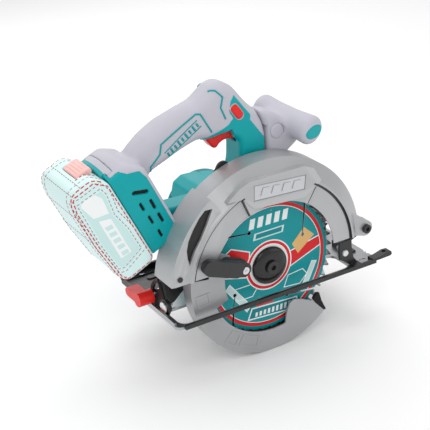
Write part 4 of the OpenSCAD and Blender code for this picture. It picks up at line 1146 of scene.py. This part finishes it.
for side, tag in ((-1, "near"), (1, "far")):
    make_outlines(side, tag)
make_ridges()
for side, tag in ((-1, "near"), (1, "far")):
    make_plaques(side, tag)


# ------------------------------------------------------------------ small pieces on motor and guard
SHROUD = [(-50, 66), (-48.9, 77), (-44.2, 96.1), (-33.3, 102.3), (-8.3, 100.9), (-6, 96), (-12, 90),
          (-40, 62)]


def make_shroud():
    """Squared corner of the motor's cover, up and to the rear."""
    F = Field((-54, 22, 58), (-2, 80, 106), 0.9)
    f = cross(blur(F.flat(SHROUD), 1)[:, None, :], np.abs(F.Y - 51) - 26.5, 2.5)
    f = np.maximum(f, -motor_field(F, 42.5))
    F.mesh(f, "motor_shroud", teal, "saw_body")


STOP = [(51.5, -26), (56.5, -20), (60.5, -21), (63.5, -32), (69.5, -44.5), (66.5, -45), (55, -32)]


def make_stop():
    """Rubber stop at the front end of the lower guard."""
    F = Field((46, -58, -50), (74, -50, -14), 0.6)
    f = cross(F.flat(STOP)[:, None, :], np.abs(F.Y + 54.2) - 1.9, 0.6)
    F.mesh(f, "lower_guard_stop", rubber, "lower_guard")


make_shroud()
make_stop()


# ------------------------------------------------------------------ CAD parts: finish and edges
FINISH = {
    "plate_steel": plate_steel, "black_steel": black_paint, "dark_steel": grey_paint, "bolt_steel": bright,
    "black_bolt": black_paint, "red_plastic": red, "cast_grey": guard_grey, "cast_dark": guard_dark,
    "badge_silver": badge, "black_plastic": black, "rubber_black": rubber, "lever_black": grey_paint,
    "spring_steel": bright, "blade_steel": printed, "carbide": carbide, "gear_steel": gear_steel,
    "teal_plastic": teal, "grip_grey": grip_grey, "core_steel": core_steel, "winding_copper": copper,
    "board_green": board, "pack_pale": pale, "cell_wrap": cellwrap, "latch_pink": pink,
}
OWN = {"gear_case": case_grey, "motor_end_cap": teal_dark, "blade": printed, "outer_flange": lacquer,
       "base_plate": plate_coated, "front_side_plate": side_plate}
BEVEL = {"upper_guard": 0.6, "lower_guard": 0.5, "gear_case": 0.9, "motor_housing": 0.8,
         "motor_end_cap": 0.8, "base_plate": 0.3, "near_rail": 0.6, "far_rail": 0.4, "guard_lever": 1.2,
         "bevel_lock_lever": 1.2, "depth_lock_lever": 1.2, "outer_flange": 0.3, "blade": 0.0,
         "blade_tips": 0.0, "guard_badge": 0.25}


def finish_node(name, o, slot_name):
    """Material, merged flats and rounded edges of one CAD node."""
    m = OWN.get(name) or FINISH[slot_name]
    for s in o.material_slots:
        s.link = 'OBJECT'
        s.material = m
    w = BEVEL.get(name, 0.35)
    weld = o.modifiers.new("weld", 'WELD')
    weld.merge_threshold = 0.00001
    dec = o.modifiers.new("flat", 'DECIMATE')
    dec.decimate_type = 'DISSOLVE'
    dec.angle_limit = math.radians(1.0)
    if w:
        bev = o.modifiers.new("edges", 'BEVEL')
        bev.width = w * MM
        bev.segments = 2
        bev.limit_method = 'ANGLE'
        bev.angle_limit = math.radians(35)
        bev.use_clamp_overlap = True
        bev.harden_normals = False
    wn = o.modifiers.new("normals", 'WEIGHTED_NORMAL')
    wn.keep_sharp = False


def finish_all():
    slots = {r["node"]: r["material_slot"] for r in frame["record"]["subparts"]}
    for name, o in frame["nodes"].items():
        if name not in stood_for:
            finish_node(name, o, slots[name])


finish_all()


# ------------------------------------------------------------------ floor, light and camera
def make_floor():
    m = Mat("floor_pale", 0.75, 0.0, 0.2)
    m.colour(m.mix(m.noise(3.0, 3.0), rgb(252, 252, 253), rgb(255, 255, 255)))
    m.bump(m.noise(140.0), 0.0001, 0.1)
    z = cad_box[0][2] - 0.0005
    n, r = 48, 6.0
    V = [(0.0, 0.0, z)]
    for k in (0.5, r):
        V += [(k * math.cos(2 * math.pi * i / n), k * math.sin(2 * math.pi * i / n), z) for i in range(n)]
    Q = [(0, 1 + i, 1 + (i + 1) % n) for i in range(n)]
    Q += [(1 + i, 1 + n + i, 1 + n + (i + 1) % n, 1 + (i + 1) % n) for i in range(n)]
    me = bpy.data.meshes.new("floor")
    me.from_pydata(V, [], Q)
    o = bpy.data.objects.new("floor", me)
    me.materials.append(m.m)
    bpy.context.scene.collection.objects.link(o)


def lamp(name, at, aim, size, power):
    d = bpy.data.lights.new(name, 'AREA')
    d.shape, d.size, d.size_y = 'RECTANGLE', size[0], size[1]
    d.energy = power
    o = bpy.data.objects.new(name, d)
    bpy.context.scene.collection.objects.link(o)
    o.location = at
    o.rotation_euler = (Vector(aim) - Vector(at)).to_track_quat('-Z', 'Y').to_euler()


def make_light():
    w = bpy.data.worlds.new("studio")
    bpy.context.scene.world = w
    w.use_nodes = True
    bg = w.node_tree.nodes["Background"]
    bg.inputs["Color"].default_value = (1.0, 1.0, 1.0, 1.0)
    bg.inputs["Strength"].default_value = 0.70
    aim = (0.0, -0.02, 0.09)
    lamp("key", (-0.9, -1.1, 1.5), aim, (0.9, 0.9), 7.0)
    lamp("fill", (1.3, -1.2, 0.6), aim, (1.2, 0.9), 2.0)
    lamp("top", (0.1, 0.3, 1.6), aim, (1.2, 1.2), 7.0)
    lamp("rim", (0.2, 1.3, 0.8), aim, (1.4, 0.6), 4.0)


def make_camera():
    """Left of straight ahead, looking down on the blade side, as far back as 1.3 m."""
    eye = (-0.5932, -0.9653, 0.6131)
    turn, rise, roll = math.radians(30.0), math.radians(25.5), math.radians(3.1)
    back = Vector((-math.sin(turn) * math.cos(rise), -math.cos(turn) * math.cos(rise), math.sin(rise)))
    right = Vector((math.cos(turn), -math.sin(turn), 0.0))
    up = back.cross(right)
    r = right * math.cos(roll) - up * math.sin(roll)
    u = right * math.sin(roll) + up * math.cos(roll)
    d = bpy.data.cameras.new("camera")
    d.sensor_width, d.lens = 36.0, 96.3
    o = bpy.data.objects.new("camera", d)
    bpy.context.scene.collection.objects.link(o)
    axes = Matrix((r, u, back)).transposed()
    o.matrix_world = Matrix.Translation(eye) @ axes.to_4x4()
    d.clip_start, d.clip_end = 0.05, 50.0
    bpy.context.scene.camera = o


make_floor()
make_light()
make_camera()
bpy.context.scene.view_settings.view_transform = 'Standard'
bpy.context.view_layer.update()
